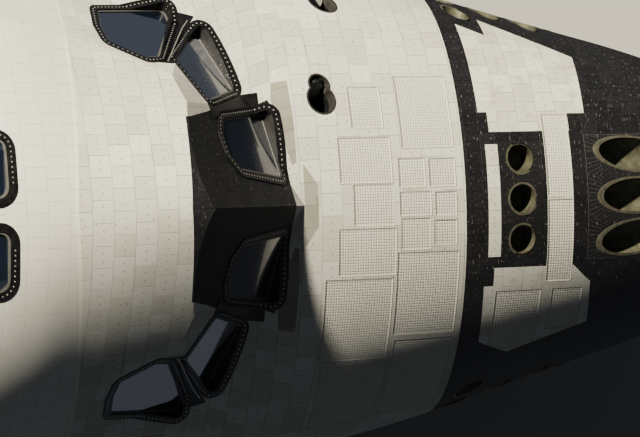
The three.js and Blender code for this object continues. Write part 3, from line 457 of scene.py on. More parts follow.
def rounded(corners, radius, steps=6):
    points = [Vector(c) for c in corners]
    outline = []
    for before, point, after in zip(points[-1:] + points[:-1], points, points[1:] + points[:1]):
        arms = [(before - point), (after - point)]
        half = arms[0].angle(arms[1]) / 2
        reach = min(radius / math.tan(half), arms[0].length * 0.49, arms[1].length * 0.49)
        ways = [arm.normalized() for arm in arms]
        centre = point + (ways[0] + ways[1]).normalized() * reach / math.cos(half)
        ends = [point + way * reach - centre for way in ways]
        sweep = ends[0].angle(ends[1])
        for i in range(steps + 1):
            share = i / steps
            outline.append(tuple(centre + (ends[0] * math.sin((1 - share) * sweep)
                                           + ends[1] * math.sin(share * sweep)) / math.sin(sweep)))
    return outline


def keyhole(large, small, apart, count=32):
    # two round lobes that meet, the small one above the large one
    waist = (apart ** 2 + large ** 2 - small ** 2) / (2 * apart)
    half = math.sqrt(large ** 2 - waist ** 2)
    low, high = math.atan2(waist, half), math.atan2(waist - apart, half)
    below = [low - (2 * low + math.pi) * i / count for i in range(count)]
    above = [math.pi - high - (math.pi - 2 * high) * i / count for i in range(count)]
    return ([(large * math.cos(t), large * math.sin(t)) for t in below]
            + [(small * math.cos(t), apart + small * math.sin(t)) for t in above])


def basis(point, x, y, z):
    return Matrix.Translation(point) @ Matrix((x, y, z)).transposed().to_4x4()


def slopeBasis(pane, sign):
    # X outboard and Y up the slope of a windshield plane. The starboard one is mirrored.
    normal = Vector(pane["normal"]).normalized()
    outboard = Vector((0, 0, 1)).cross(normal).normalized()
    port = basis(place(*pane["point"]), outboard, normal.cross(outboard), normal)
    return port if sign > 0 else Matrix.Scale(-1, 4, (0, 1, 0)) @ port


def skinBasis(point, normal):
    normal = Vector(normal).normalized()
    along = (Vector((1, 0, 0)) - normal * normal.x).normalized()
    return basis(point, along, normal.cross(along), normal)


def roofBasis(station, side):
    height = roofHeight(station, side)[0]
    rise = (roofHeight(station + 2, side)[0] - roofHeight(station - 2, side)[0]) / 4
    across = (roofHeight(station, side + 1)[0] - roofHeight(station, side - 1)[0]) / 2
    return skinBasis(place(station, side, height), (rise, -across, 1))


def lowerSide(station, height):
    _, keel, halfWidth, widest = rowAt(bodySections, station)
    sides, heights = quarter(halfWidth, keel, widest, *lowerFlatness(station), np.linspace(0, 1, 200))
    return float(np.interp(height, heights, sides))


def bellyHeight(station, side):
    _, keel, halfWidth, widest = rowAt(bodySections, station)
    return float(np.interp(abs(side), *quarter(halfWidth, keel, widest, *lowerFlatness(station),
                                               np.linspace(0, 1, 200))))


def addPrism(bm, outline, turn, low, high):
    base = [bm.verts.new((x, y, low)) for x, y in outline]
    face = bm.faces.new(base)
    risen = [v for v in bmesh.ops.extrude_face_region(bm, geom=[face])["geom"]
             if isinstance(v, bmesh.types.BMVert)]
    bmesh.ops.translate(bm, verts=risen, vec=(0, 0, high - low))
    bmesh.ops.transform(bm, matrix=turn, verts=base + risen)
    bmesh.ops.recalc_face_normals(bm, faces=list({f for v in base + risen for f in v.link_faces}))
    return base + risen


def prismObject(name, outline, turn, low, high):
    bm = bmesh.new()
    addPrism(bm, outline, turn, low, high)
    return addObject(name, bm)


def addBlock(bm, fore, aft, sideLow, sideHigh, low, high):
    # a box between stations, sides and heights
    corners = [place(aft, sideLow, low), place(fore, sideHigh, high)]
    return addBar(bm, Matrix.Identity(4), *corners)


def addBar(bm, turn, low, high):
    size = Vector(high) - Vector(low)
    made = bmesh.ops.create_cube(bm, size=1)["verts"]
    bmesh.ops.scale(bm, verts=made, vec=size)
    bmesh.ops.translate(bm, verts=made, vec=(Vector(high) + Vector(low)) / 2)
    bmesh.ops.transform(bm, matrix=turn, verts=made)
    return made


def addRod(bm, start, end, radius, sides=24, endRadius=None):
    way = Vector(end) - Vector(start)
    made = bmesh.ops.create_cone(bm, cap_ends=True, segments=sides, radius1=radius,
                                 radius2=radius if endRadius is None else endRadius,
                                 depth=way.length)["verts"]
    turn = (Matrix.Translation((Vector(start) + Vector(end)) / 2)
            @ way.to_track_quat("Z", "Y").to_matrix().to_4x4())
    bmesh.ops.transform(bm, matrix=turn, verts=made)
    return made


# Openings in the skin

overheadWindow = {"fore": 556, "aft": 573.5, "inner": 5.6, "outer": 26.5, "corner": 4}
sideHatch = {"station": 505, "height": 372, "radius": 20, "paneRadius": 5.25, "swingGap": 0.011}
starDoors = {"star_tracker_door_top": (427.2, 37.1), "star_tracker_door_side": (418.3, 71.6)}
starDoor = {"radius": 4.8, "smallRadius": 3.4, "apart": 5.6, "gap": 0.011, "thickness": 0.02,
            "pinFromEnd": 0.024, "pocketDepth": 0.024, "pocketFromPin": 0.01}
# Columns: station, side, height, radius of the mouth, in inches
thrusters = {
    "up_thrusters": ((0, 0, 1), [(350.9, s, 413, 5) for s in (-14.39, 0, 14.39)]),
    "forward_thrusters": ((1, 0, 0), [(318, -14.65, 394.4, 5.85), (318, 0, 396.2, 5.85),
                                      (318, 14.65, 394.4, 5.85)])}
sideMouths = [(362.67, 69.46, 373.73, 4.7), (364.71, 71.66, 359.25, 4.7)]
downMouths = [(333.84, 61.42, 356.92, 4.7), (348.44, 66.23, 358.44, 4.7), (324.35, 59.7, 350.12, 2)]
for sideName, sign in bothSides.items():
    thrusters["side_thrusters_" + sideName] = ((0, sign, 0),
                                               [(s, sign * y, h, r) for s, y, h, r in sideMouths])
    thrusters["down_thrusters_" + sideName] = ((0, 0.75 * sign, -0.66),
                                               [(s, sign * y, h, r) for s, y, h, r in downMouths])
bell = {"depth": 11 * inch, "wall": 0.006, "throat": 0.55, "waist": 0.06, "clearance": 0.001, "recess": 0.002}
airProbe = {"station": 352, "height": 322, "length": 15, "width": 7.5, "corner": 0.03, "holeCorner": 0.012,
            "gap": 0.006, "mastReach": 2.4, "mastHeight": 3.6, "tubeLength": 13, "tubeRadius": 0.55,
            "sweepBeyond": 0.0145}
gearWell = {"fore": 276, "aft": 378, "halfWidth": 16, "gap": 0.006}


def overheadOutline(sign, grow, steps=6):
    w = overheadWindow
    centre = place((w["fore"] + w["aft"]) / 2, sign * (w["inner"] + w["outer"]) / 2, datumHeight)
    corners = rectangle((w["aft"] - w["fore"]) / 2 * inch + grow, (w["outer"] - w["inner"]) / 2 * inch + grow)
    return [(x + centre.x, y + centre.y) for x, y in rounded(corners, w["corner"] * inch + grow, steps)]


def hatchBasis():
    slope = (rowAt(bodySections, 515)[2] - rowAt(bodySections, 495)[2]) / 20
    normal = Vector((slope, 1, 0)).normalized()
    across = Vector((0, 0, 1)).cross(normal).normalized()
    point = place(sideHatch["station"], rowAt(bodySections, sideHatch["station"])[2], sideHatch["height"])
    return basis(point, across, normal.cross(across), normal)


def probeBasis(sign):
    station, height = airProbe["station"], airProbe["height"]
    rise = (lowerSide(station, height + 2) - lowerSide(station, height - 2)) / 4
    widen = (lowerSide(station + 8, height) - lowerSide(station - 8, height)) / 16
    return skinBasis(place(station, sign * lowerSide(station, height), height), (widen, sign, -rise))


def starLobes(grow):
    return keyhole(starDoor["radius"] * inch + grow, starDoor["smallRadius"] * inch + grow,
                   starDoor["apart"] * inch)


def addOpenings():
    bm = bmesh.new()
    for pane in windshield.values():
        glass = rounded(offset(inMetres(pane["glass"]), windowSeat["play"]), windowSeat["corner"] * inch)
        for sign in bothSides.values():
            addPrism(bm, glass, slopeBasis(pane, sign), -0.16, 0.2)
    for sign in bothSides.values():
        addPrism(bm, overheadOutline(sign, windowSeat["play"]), Matrix.Identity(4), 1.5, 3)
        probe = rectangle(airProbe["length"] / 2 * inch + airProbe["gap"],
                          airProbe["width"] / 2 * inch + airProbe["gap"])
        addPrism(bm, rounded(probe, airProbe["holeCorner"]), probeBasis(sign), -0.12, 0.12)
    addPrism(bm, disc(sideHatch["radius"] * inch + sideHatch["swingGap"], count=96), hatchBasis(), -0.4, 0.4)
    for station, side in starDoors.values():
        addPrism(bm, starLobes(starDoor["gap"]), roofBasis(station, side), -0.15, 0.3)
    for direction, mouths in thrusters.values():
        outward = Vector(direction).normalized()
        for station, side, height, radius in mouths:
            mouth = place(station, side, height)
            addRod(bm, mouth - outward * 0.16, mouth + outward * (0.95 if direction[0] else 0.2),
                   radius * inch + bell["wall"] + bell["clearance"], 48)
    well = gearWell
    gap = well["gap"] / inch
    addBlock(bm, well["fore"] - gap, well["aft"] + gap, -well["halfWidth"] - gap, well["halfWidth"] + gap,
             200, 320)
    return addObject("openings", bm)


def addPockets():
    # room under the skin for the star tracker doors to swing
    bm = bmesh.new()
    reach = starDoor["radius"] * inch + 0.012
    fromCentre = (starDoor["apart"] + starDoor["smallRadius"]) * inch - starDoor["pinFromEnd"]
    for station, side in starDoors.values():
        turn = roofBasis(station, side)
        addBar(bm, turn, (-reach, -reach, -1), (reach, fromCentre - starDoor["pocketFromPin"],
                                                -starDoor["pocketDepth"] - 0.012))
    return addObject("pockets", bm)


outerSolid = hullSolid("outer", 0)
print("outer skin", len(outerSolid.data.polygons), "faces")
innerSolid = hullSolid("inner", hull["thickness"])
shell = duplicate(outerSolid, "shell")
combine(shell, innerSolid, "DIFFERENCE", keep=True)
pierced = duplicate(shell, "pierced shell")
combine(pierced, addOpenings(), "DIFFERENCE")
combine(pierced, addPockets(), "DIFFERENCE")
print("shell pierced", len(pierced.data.polygons), "faces")

# Thermal covering: glazed silica tiles, quilted blankets and smooth felt, laid out on the wrap

whiteTile = {"size": 203 * mm, "gap": 2.2 * mm, "colour": "DFDED6", "second": "CDCBC0", "gapColour": "99968B"}
blackTile = {"size": 152 * mm, "gap": 2.6 * mm, "colour": "212223", "second": "2C2C2D", "gapColour": "101112"}
# Outlines of (station, girth from the crown) corners in inches. Girth is counted to both sides alike,
# unless the outline is in a one-sided list, where port is positive.
blackPatch = [(489.2, -8), (489.2, 0), (487.2, 35.5), (473, 39.8), (446.8, 41.3), (445.6, 33), (441, 15.3),
              (436.8, 0), (436.8, -8)]
# the first outline is white tile facets beside the black patch, painted grey as painted shade because their
# slope turns them from the light; the second is a darker grey tile ahead of the patch
greyAndShadedFacetTiles = [[(446.9, 41.3), (445.6, 33), (441, 15.3), (438.4, 16), (439, 30), (438.8, 46), (446, 47)],
             [(441, 15.3), (436.8, 0), (436.8, -8), (431.5, -8), (431.5, 7.3), (437, 15)]]
whitePanels = [
    [(366, 31.9), (366, 74.8), (356.5, 69.7), (340.8, 60), (340.8, 31.9)],
    [(362.5, 24.3), (362.5, 31.9), (330, 31.9), (330, 24.3)],
    [(355.2, 60), (355.2, 81), (321.2, 59), (322.8, 31.1), (345, 31.1)],
    [(341, -31.5), (341, 31.5), (330.4, 31.5), (330.4, -31.5)],
    [(364.7, -20.5), (364.7, 19.8), (359.7, 19.8), (359.7, -20.5)],
    [(362, -31.5), (362, -24.6), (330, -24.6), (322.5, -31.5)],
    [(365.8, -31.5), (365, -55), (352, -62), (321, -50), (322.5, -31)]]
quiltBlocks = [
    (398, 377, 19, 47), (417, 404, 26.5, 42.8), (423, 402, 7, 23.8), (400, 389, 4.9, 15.9),
    (388, 377, 4.9, 15.5), (400, 387, -5.1, 4.1), (386, 377, -5.4, 3.7), (418, 401.5, -8.2, 7.1),
    (399.5, 387.5, -17.1, -5.4), (386.5, 377, -15.6, -6.2), (424, 401, -25.8, -8.6),
    (401, 376, -49.4, -17.5), (429, 402, -59.1, -26.6), (400, 376, -92, -51), (428, 401, -94, -61),
    (341, 330.4, 0.4, 31), (341, 330.4, -31, -0.4), (361, 342, -60, -33.5), (338, 325, -52, -33.5)]
creamSeam = {"station": 531.9, "lean": 0.076, "width": 1.3}
chine = {"height": 338, "rise": 0.04}


def regionDepth(tree, point, corners):
    # metres inside a convex outline on the wrap, below nought outside it
    spots = [Vector(((aftStation - station) * inch, girth * inch)) for station, girth in corners]
    middle = sum(spots, Vector((0, 0))) / len(spots)
    depth = None
    for a, b in zip(spots, spots[1:] + spots[:1]):
        inward = Vector((b.y - a.y, a.x - b.x)).normalized()
        if (middle - a).dot(inward) < 0:
            inward = -inward
        edge = addNode(tree, "VectorMath", {0: point, 1: (inward.x, inward.y, -inward.dot(a))},
                       operation="DOT_PRODUCT")
        depth = edge if depth is None else calc(tree, "MINIMUM", depth, edge)
    return depth


def deepest(tree, point, regions):
    depth = None
    for corners in regions:
        inside = regionDepth(tree, point, corners)
        depth = inside if depth is None else calc(tree, "MAXIMUM", depth, inside)
    return depth


def tileGrid(tree, along, girth, size):
    # rows round the body, with every other row half a tile further on
    row = calc(tree, "DIVIDE", along, size)
    rowNumber = calc(tree, "FLOOR", row)
    shift = calc(tree, "MULTIPLY", rowNumber, 0.5)
    column = calc(tree, "MULTIPLY_ADD", girth, 1 / size, shift)
    columnNumber = calc(tree, "FLOOR", column)
    local = [calc(tree, "SUBTRACT", calc(tree, "FRACT", value), 0.5) for value in (row, column)]
    reach = [calc(tree, "ABSOLUTE", value) for value in local]
    far = calc(tree, "MAXIMUM", reach[0], reach[1])
    edge = calc(tree, "MULTIPLY_ADD", far, -size, size / 2)
    number = addNode(tree, "CombineXYZ", {0: rowNumber, 1: columnNumber})
    chance = addNode(tree, "TexWhiteNoise", {"Vector": number}, noise_dimensions="2D")
    return edge, local, reach, chance.outputs["Value"]


def heatShieldMaterial():
    # silica tiles with a matt white or satin black glass glaze, and white quartz quilts: pale and dry,
    # with fine dark joints, streaked by air flow and marked by small plugs
    material, tree, shader = startMaterial("glazed silica tile and quartz quilt", Roughness=0.75, IOR=1.5)
    links = tree.links
    wrap = addNode(tree, "UVMap", {}, uv_map="skin")
    parts = addNode(tree, "SeparateXYZ", {0: wrap})
    along, girth = parts.outputs[0], parts.outputs[1]
    everyGirth = calc(tree, "ABSOLUTE", girth)
    point = addNode(tree, "CombineXYZ", {0: along, 1: girth, 2: 1.0})
    bothPoint = addNode(tree, "CombineXYZ", {0: along, 1: everyGirth, 2: 1.0})
    inModel = addNode(tree, "TexCoord", {}).outputs["Object"]
    upright = addNode(tree, "SeparateXYZ", {0: inModel})

    def over(below, above, factor, blend="MIX"):
        return addNode(tree, "Mix", {"Factor": factor, "A": below, "B": above}, data_type="RGBA",
                       blend_type=blend)

    def step(value, low, high):
        return addNode(tree, "MapRange", {"Value": value, "From Min": low, "From Max": high},
                       interpolation_type="SMOOTHSTEP")

    def noise(size, detail=3.0, stretch=(1, 1, 1), where=None):
        spot = addNode(tree, "VectorMath", {0: where or wrap, 1: stretch}, operation="MULTIPLY")
        return addNode(tree, "TexNoise", {"Vector": spot, "Scale": 1 / size, "Detail": detail})

    whiteEdge, _, whiteReach, whiteChance = tileGrid(tree, along, girth, whiteTile["size"])
    blackEdge, _, _, blackChance = tileGrid(tree, along, girth, blackTile["size"])

    # white tiles: tints by tile, broad smudges, streaks down the joints and small plug marks
    white = over(colour(whiteTile["colour"]), colour(whiteTile["second"]), whiteChance)
    cloudy = step(noise(0.9, 4), 0.35, 0.75)
    white = over(white, colour("CDCBC0"), calc(tree, "MULTIPLY", cloudy, 0.35))
    streaks = step(noise(0.05, 3, (1, 0.12, 1)), 0.52, 0.72)
    nearJoint = step(whiteReach[0], 0.40, 0.5)
    streaks = calc(tree, "MULTIPLY", calc(tree, "MULTIPLY", streaks, nearJoint), 0.5)
    white = over(white, colour("A9A69B"), streaks)
    joint = step(whiteEdge, whiteTile["gap"], 0)
    faded = addNode(tree, "MapRange", {"Value": noise(0.35, 3), "From Min": 0.35, "From Max": 0.65,
                                       "To Min": 0.35, "To Max": 1.0})
    white = over(white, colour(whiteTile["gapColour"]), calc(tree, "MULTIPLY", joint, faded))
    flecks = step(noise(0.02, 2, (1, 0.4, 1)), 0.69, 0.73)
    white = over(white, colour("6E675C"), calc(tree, "MULTIPLY", flecks, 0.7))
    plugSpot = calc(tree, "ABSOLUTE", calc(tree, "SUBTRACT", whiteReach[1], 0.2))
    plug = calc(tree, "ADD", calc(tree, "MULTIPLY", plugSpot, plugSpot),
                calc(tree, "MULTIPLY", whiteReach[0], whiteReach[0]))
    white = over(white, colour("6E675C"), calc(tree, "MULTIPLY", step(plug, 0.0012, 0.0006), 0.8))

    # smooth felt behind the cream seam, with wide panels
    leaning = calc(tree, "MULTIPLY_ADD", everyGirth, -creamSeam["lean"], along)
    seamAt = (aftStation - creamSeam["station"]) * inch
    feltEdge, _, _, feltChance = tileGrid(tree, leaning, girth, 0.62)
    felt = over(colour("E4E2D9"), colour("DEDCD2"), feltChance)
    felt = over(felt, colour("CBC8BC"), calc(tree, "MULTIPLY", step(feltEdge, 0.003, 0), 0.6))
    isFelt = calc(tree, "LESS_THAN", leaning, seamAt)
    cream = calc(tree, "COMPARE", leaning, seamAt, creamSeam["width"] / 2 * inch)

    # quilts: a stitched grid of small puffs with a corded edge
    quiltDepth = deepest(tree, point, [[(a, c), (b, c), (b, d), (a, d)] for a, b, c, d in quiltBlocks])
    isQuilt = calc(tree, "GREATER_THAN", quiltDepth, 0.0)
    puffs = []
    for value in (along, girth):
        wave = calc(tree, "SINE", calc(tree, "MULTIPLY", value, math.pi / 0.0254))
        puffs.append(calc(tree, "ABSOLUTE", wave))
    puff = calc(tree, "MINIMUM", puffs[0], puffs[1])
    # the stitch lines between the puffs are painted darker: painted shade in the stitched creases
    quilt = over(colour("C4C2B6"), colour("DDDBD1"), step(puff, 0.0, 0.3))
    quilt = over(quilt, colour("CFCCC0"), calc(tree, "MULTIPLY", step(noise(0.3, 4), 0.4, 0.8), 0.6))
    cord = step(calc(tree, "SUBTRACT", quiltDepth, 0.012, 0.0), 0.008, -0.008)

    # black tiles: brown-black glaze with fine pale scuffs along the flow
    black = over(colour(blackTile["colour"]), colour(blackTile["second"]), blackChance)
    scuffs = step(noise(0.007, 4, (1, 0.22, 1)), 0.56, 0.74)
    black = over(black, colour("7A7670"), calc(tree, "MULTIPLY", scuffs, 0.42))
    black = over(black, colour("332D2C"), calc(tree, "MULTIPLY", step(noise(0.5), 0.5, 0.8), 0.5))
    blackJoint = step(blackEdge, blackTile["gap"], 0)
    black = over(black, colour(blackTile["gapColour"]), blackJoint)
    dashes = step(noise(0.016, 2, (1, 0.3, 1)), 0.645, 0.69)
    black = over(black, colour("96928B"), calc(tree, "MULTIPLY", dashes, 0.5))
    # fine ribs that spread from the forward bells over the tiles round them, one square for each bell
    fromBell = calc(tree, "WRAP", girth, 7.5 * inch, -7.5 * inch)
    ahead = calc(tree, "SUBTRACT", along, (aftStation - 308) * inch)
    turnRound = calc(tree, "ARCTAN2", fromBell, ahead)
    share = calc(tree, "FRACT", calc(tree, "MULTIPLY", turnRound, 10.0))
    rib = step(calc(tree, "ABSOLUTE", calc(tree, "SUBTRACT", share, 0.5)), 0.14, 0.06)
    square = regionDepth(tree, bothPoint, [(324.5, -1), (324.5, 22.4), (296, 22.4), (296, -1)])
    squareEdge = step(calc(tree, "ABSOLUTE", square), 0.006, 0.003)
    inSquare = calc(tree, "GREATER_THAN", square, 0.012)
    ribs = calc(tree, "MAXIMUM", calc(tree, "MULTIPLY", rib, inSquare), squareEdge)
    black = over(black, colour("5A5753"), calc(tree, "MULTIPLY", ribs, 0.6))

    # where each covering lies
    foreBlack = calc(tree, "GREATER_THAN", along, (aftStation - 373.5) * inch)
    panelDepth = deepest(tree, point, whitePanels)
    isPanel = calc(tree, "GREATER_THAN", panelDepth, 0.0)
    patchDepth = regionDepth(tree, bothPoint, blackPatch)
    isPatch = calc(tree, "GREATER_THAN", patchDepth, 0.0)
    greyAndShadedFacetDepth = deepest(tree, bothPoint, greyAndShadedFacetTiles)
    inGreyAndShadedFacets = calc(tree, "GREATER_THAN", greyAndShadedFacetDepth, 0.0)
    chineLine = calc(tree, "MULTIPLY_ADD", along, -chine["rise"], upright.outputs[2])
    isLow = calc(tree, "LESS_THAN", chineLine, (chine["height"] - datumHeight) * inch - 0.1)
    onNose = calc(tree, "SUBTRACT", foreBlack, isPanel, use_clamp=True)
    isBlack = calc(tree, "MAXIMUM", calc(tree, "MAXIMUM", onNose, isPatch), isLow)
    whiteGround = calc(tree, "SUBTRACT", 1.0, isBlack)
    quiltHere = calc(tree, "MULTIPLY", isQuilt, whiteGround)

    smudges = step(noise(0.16, 5), 0.5, 0.75)
    panel = over(white, colour("B9B3A6"), calc(tree, "MULTIPLY", smudges, 0.7))
    shade = over(white, panel, isPanel)
    shade = over(shade, felt, isFelt)
    shade = over(shade, colour("E9E6D9"), cream)
    shade = over(shade, quilt, quiltHere)
    corded = calc(tree, "MULTIPLY", calc(tree, "MULTIPLY", cord, quiltHere), 0.8)
    shade = over(shade, colour("C6C3B8"), corded)
    # grey: painted shade on the sloping white facets beside the black patch, and the darker grey tile ahead
    # of it
    shade = over(shade, over(colour("AEABA0"), colour("9D9A8F"), blackChance), inGreyAndShadedFacets)
    shade = over(shade, black, isBlack)
    links.new(shade.outputs[2], shader.inputs["Base Color"])

    rough = addNode(tree, "MapRange", {"Value": isBlack, "To Min": 0.78, "To Max": 0.5})
    rough = calc(tree, "MULTIPLY_ADD", noise(0.03, 3), 0.15, rough)
    links.new(rough.outputs[0], shader.inputs["Roughness"])

    # relief: joints sink, quilts puff up, tiles sit a little uneven
    whiteRelief = calc(tree, "MULTIPLY", joint, -0.0025)
    blackRelief = calc(tree, "MULTIPLY", blackJoint, -0.003)
    quiltRelief = calc(tree, "MULTIPLY_ADD", step(puff, 0.0, 0.6), 0.0024, -0.0016)
    quiltRelief = calc(tree, "MULTIPLY_ADD", cord, 0.005, quiltRelief)
    relief = addNode(tree, "Mix", {"Factor": quiltHere, "A": whiteRelief, "B": quiltRelief})
    relief = addNode(tree, "Mix", {"Factor": isBlack, "A": relief, "B": blackRelief})
    relief = calc(tree, "MULTIPLY_ADD", noise(0.008, 2), 0.0006, relief)
    bump = addNode(tree, "Bump", {"Strength": 1.0, "Distance": 1.0, "Height": relief})
    links.new(bump.outputs[0], shader.inputs["Normal"])
    return material


# Other finishes, each an even mix of two tones. Sizes of the mottling and of the fine grain are in mm.

def finish(name, first, second, roughness, mottle=120, grain=2, spread=0.5, relief=0.1, metallic=0.0, **more):
    material, tree, shader = startMaterial(name, Metallic=metallic, **more)
    spot = addNode(tree, "TexCoord", {}).outputs["Object"]
    broad = addNode(tree, "TexNoise", {"Vector": spot, "Scale": 1000 / mottle, "Detail": 5.0})
    fine = addNode(tree, "TexNoise", {"Vector": spot, "Scale": 1000 / grain, "Detail": 2.0})
    factor = addNode(tree, "MapRange", {"Value": broad, "From Min": 0.5 - spread / 2, "From Max": 0.5
                                        + spread / 2})
    tone = addNode(tree, "Mix", {"Factor": factor, "A": colour(first), "B": colour(second)}, data_type="RGBA")
    tree.links.new(tone.outputs[2], shader.inputs["Base Color"])
    rough = addNode(tree, "MapRange", {"Value": broad, "To Min": max(0.02, roughness - 0.08),
                                       "To Max": min(1, roughness + 0.08)})
    tree.links.new(rough.outputs[0], shader.inputs["Roughness"])
    bump = addNode(tree, "Bump", {"Strength": 0.4, "Distance": relief * mm, "Height": fine})
    tree.links.new(bump.outputs[0], shader.inputs["Normal"])
    return material


tileSkin = heatShieldMaterial()
# zinc chromate primer on aluminium: dull olive, slightly patchy
primer = finish("zinc chromate primer on aluminium", "77775F", "68694F", 0.6, spread=0.35)
# coated carbon composite: matt dark grey with a faint weave
carbon = finish("coated carbon composite", "5A5754", "6B6864", 0.7, mottle=60, grain=4, relief=0.2)
# black enamel on the window frames: satin, scuffed grey
blackEnamel = finish("black glass enamel", "191919", "2B2A28", 0.45, mottle=50, grain=3, spread=0.35)
# stainless fastener heads: pale and fairly bright
fastenerSteel = finish("stainless steel fastener", "C2C0B9", "8F8D87", 0.35, mottle=30, metallic=0.4)
# niobium bell with a silicide coat: olive brown, matt, heat stained
bellMetal = finish("silicide coated niobium", "6C6958", "504E40", 0.55, mottle=70, metallic=0.2, spread=0.3)
print("first finishes ready")


def panelPiece(name, box, nodes, materials):
    piece = duplicate(pierced, name)
    bm = bmesh.new()
    addBlock(bm, *box)
    combine(piece, addObject("box", bm), "INTERSECT")
    wrapSkin(piece)
    return finishPiece(piece, "root", materials, nodes, sharp=9)


gap, wide = hull["panelGap"], 400
panelPiece("nose_cap_shell",
           (100, hull["noseCapStation"] - gap, -wide, wide, -wide, wide + 500),
           ["nose_cap"], [carbon, primer])
panelPiece("thruster_module_skin",
           (hull["noseCapStation"] + gap, hull["moduleStation"] - gap, -wide, wide,
            hull["splitHeight"] + gap, 800),
           ["thruster_module"], [tileSkin, primer])
panelPiece("upper_fuselage_skin",
           (hull["moduleStation"] + gap, hull["aftEnd"], -wide, wide, hull["splitHeight"] + gap, 800),
           ["upper_fuselage"], [tileSkin, primer])
panelPiece("lower_fuselage_skin",
           (hull["noseCapStation"] + gap, hull["aftEnd"], -wide, wide, 100, hull["splitHeight"] - gap),
           ["lower_fuselage"], [tileSkin, primer])
print("skin panels ready")

# Windows: a black frame draped over the skin round each pane, its fasteners, and the retainer on the glass

windowFrame = {"proud": 0.008, "width": 2.7, "low": -0.08, "overheadWidth": 0.078, "screw": 0.0102,
               "pitch": 0.045, "retainer": 0.02}
# optical glass: dark, slightly blue and glossy, and clear enough to show the lit edge inside
glassPane = finish("coated window glass", "22303E", "272C38", 0.08, mottle=500, grain=40, relief=0.0,
                   Alpha=0.85, IOR=2.0, Coat_Weight=1.0, Coat_IOR=1.8)
# silicone coated retainer: mid grey, satin
retainerGrey = finish("silicone coated retainer", "7C7B75", "66655F", 0.5, mottle=60)
proudSkin = hullSolid("proud", -windowFrame["proud"])
proudTree = BVHTree.FromObject(proudSkin, bpy.context.evaluated_depsgraph_get())


def walk(outline, pitch):
    # evenly spaced spots along a closed outline
    points = [Vector(p) for p in outline] + [Vector(outline[0])]
    lengths = np.cumsum([0] + [(b - a).length for a, b in zip(points, points[1:])])
    at = np.arange(max(3, round(lengths[-1] / pitch))) / max(3, round(lengths[-1] / pitch)) * lengths[-1]
    return [(float(np.interp(a, lengths, [p.x for p in points])),
             float(np.interp(a, lengths, [p.y for p in points]))) for a in at]


def ringPiece(name, outer, inner, turn, low, high, trim):
    piece = prismObject(name, outer, turn, low, high)
    combine(piece, prismObject("hole", inner, turn, low - 0.01, high + 0.01), "DIFFERENCE")
    return combine(piece, trim, "INTERSECT", keep=True)


def addScrews(bm, spots, turn, radius, high=0.4, lift=0.0015):
    # flat-domed screw heads on the draped surface
    down = -(turn.to_3x3() @ Vector((0, 0, 1))).normalized()
    for x, y in spots:
        point, facing, _, _ = proudTree.ray_cast(turn @ Vector((x, y, high)), down, 2 * high)
        if point and (turn.inverted() @ point).z > windowFrame["low"]:
            addRod(bm, point - facing * 0.002, point + facing * lift, radius, 12, radius * 0.7)


def addWindow(name, glass, frameOutline, screwLine, turn, low, high, retainerTop):
    frameObject = ringPiece("frame_" + name, frameOutline, offset(glass, -0.0015), turn, low, high, proudSkin)
    finishPiece(frameObject, "root", [blackEnamel], sharp=25)
    inner = offset(glass, -windowFrame["retainer"])
    retainer = ringPiece("retainer_" + name, glass, inner, turn, low - 0.02, retainerTop, trimSkin)
    finishPiece(retainer, "root", [retainerGrey], sharp=25)
    bm = bmesh.new()
    addScrews(bm, walk(offset(glass, screwLine), windowFrame["pitch"]), turn, windowFrame["screw"])
    finishPiece(addObject("fasteners_" + name, bm), "root", [fastenerSteel], sharp=40)


trimSkin = hullSolid("trim", bell["recess"])
for pane, shape in windshield.items():
    glass = rounded(offset(inMetres(shape["glass"]), windowSeat["play"]), windowSeat["corner"] * inch, 8)
    edge = offset(glass, windowFrame["width"] * inch)
    for side, sign in bothSides.items():
        addWindow("windshield_%s_%s" % (pane, side), glass, edge, windowFrame["width"] / 2 * inch,
                  slopeBasis(shape, sign), windowFrame["low"], 0.2, -0.003)
for side, sign in bothSides.items():
    lift = Matrix.Translation((0, 0, 2.2))
    addWindow("overhead_window_" + side, overheadOutline(sign, windowSeat["play"], 8),
              overheadOutline(sign, windowFrame["overheadWidth"], 8), windowFrame["overheadWidth"] * 0.5,
              lift, 0.0, 0.6, 0.6)
for name in [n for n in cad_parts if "window" in n or "windshield" in n]:
    bpy.data.objects[name].data.materials.clear()
    bpy.data.objects[name].data.materials.append(glassPane)
# black bridges between neighbouring frames, with a bright divider between the middle and the side window
bridges = {"middle_to_side": [(479, 69.5), (471.5, 67.5), (486.5, 51), (492, 51.5)],
           "forward_to_middle": [(476, 37.5), (452, 40), (452, 35), (474, 31.5)]}
divider = {"ends": [(474.2, 66), (488.6, 51.4)], "half": 0.18, "lift": 0.004}
for title, corners in bridges.items():
    for side, sign in bothSides.items():
        spots = [place(station, sign * across, datumHeight) for station, across in corners]
        bridge = prismObject("frame_bridge_" + title + "_" + side, [(p.x, p.y) for p in spots],
                             Matrix.Identity(4), 0, 3)
        combine(bridge, proudSkin, "INTERSECT", keep=True)
        finishPiece(bridge, "root", [blackEnamel], sharp=25)
for side, sign in bothSides.items():
    ends = [place(station, sign * across, datumHeight).xy for station, across in divider["ends"]]
    aside = (ends[1] - ends[0]).orthogonal().normalized() * divider["half"] * inch
    corners = [tuple(p) for p in (ends[0] - aside, ends[1] - aside, ends[1] + aside, ends[0] + aside)]
    strip = prismObject("frame_divider_" + side, corners, Matrix.Identity(4), 0, 3)
    combine(strip, proudSkin, "INTERSECT", keep=True)
    strip.data.transform(Matrix.Translation(Vector((0.6, sign * 0.6, 0.5)) * divider["lift"]))
    finishPiece(strip, "root", [fastenerSteel], sharp=25)
print("windows ready")

# Thrusters: thin bells cut off just under the skin, each with a lip plate round its mouth

bellMouth = {"lipWidth": 0.024, "lipProud": 0.003, "sides": 48}
# the lip plate: oxidised nickel alloy, olive beige and satin
lipMetal = finish("oxidised nickel alloy", "7A7768", "625F51", 0.45, mottle=45, metallic=0.3, spread=0.3)
lipSkin = hullSolid("lip", -bellMouth["lipProud"])


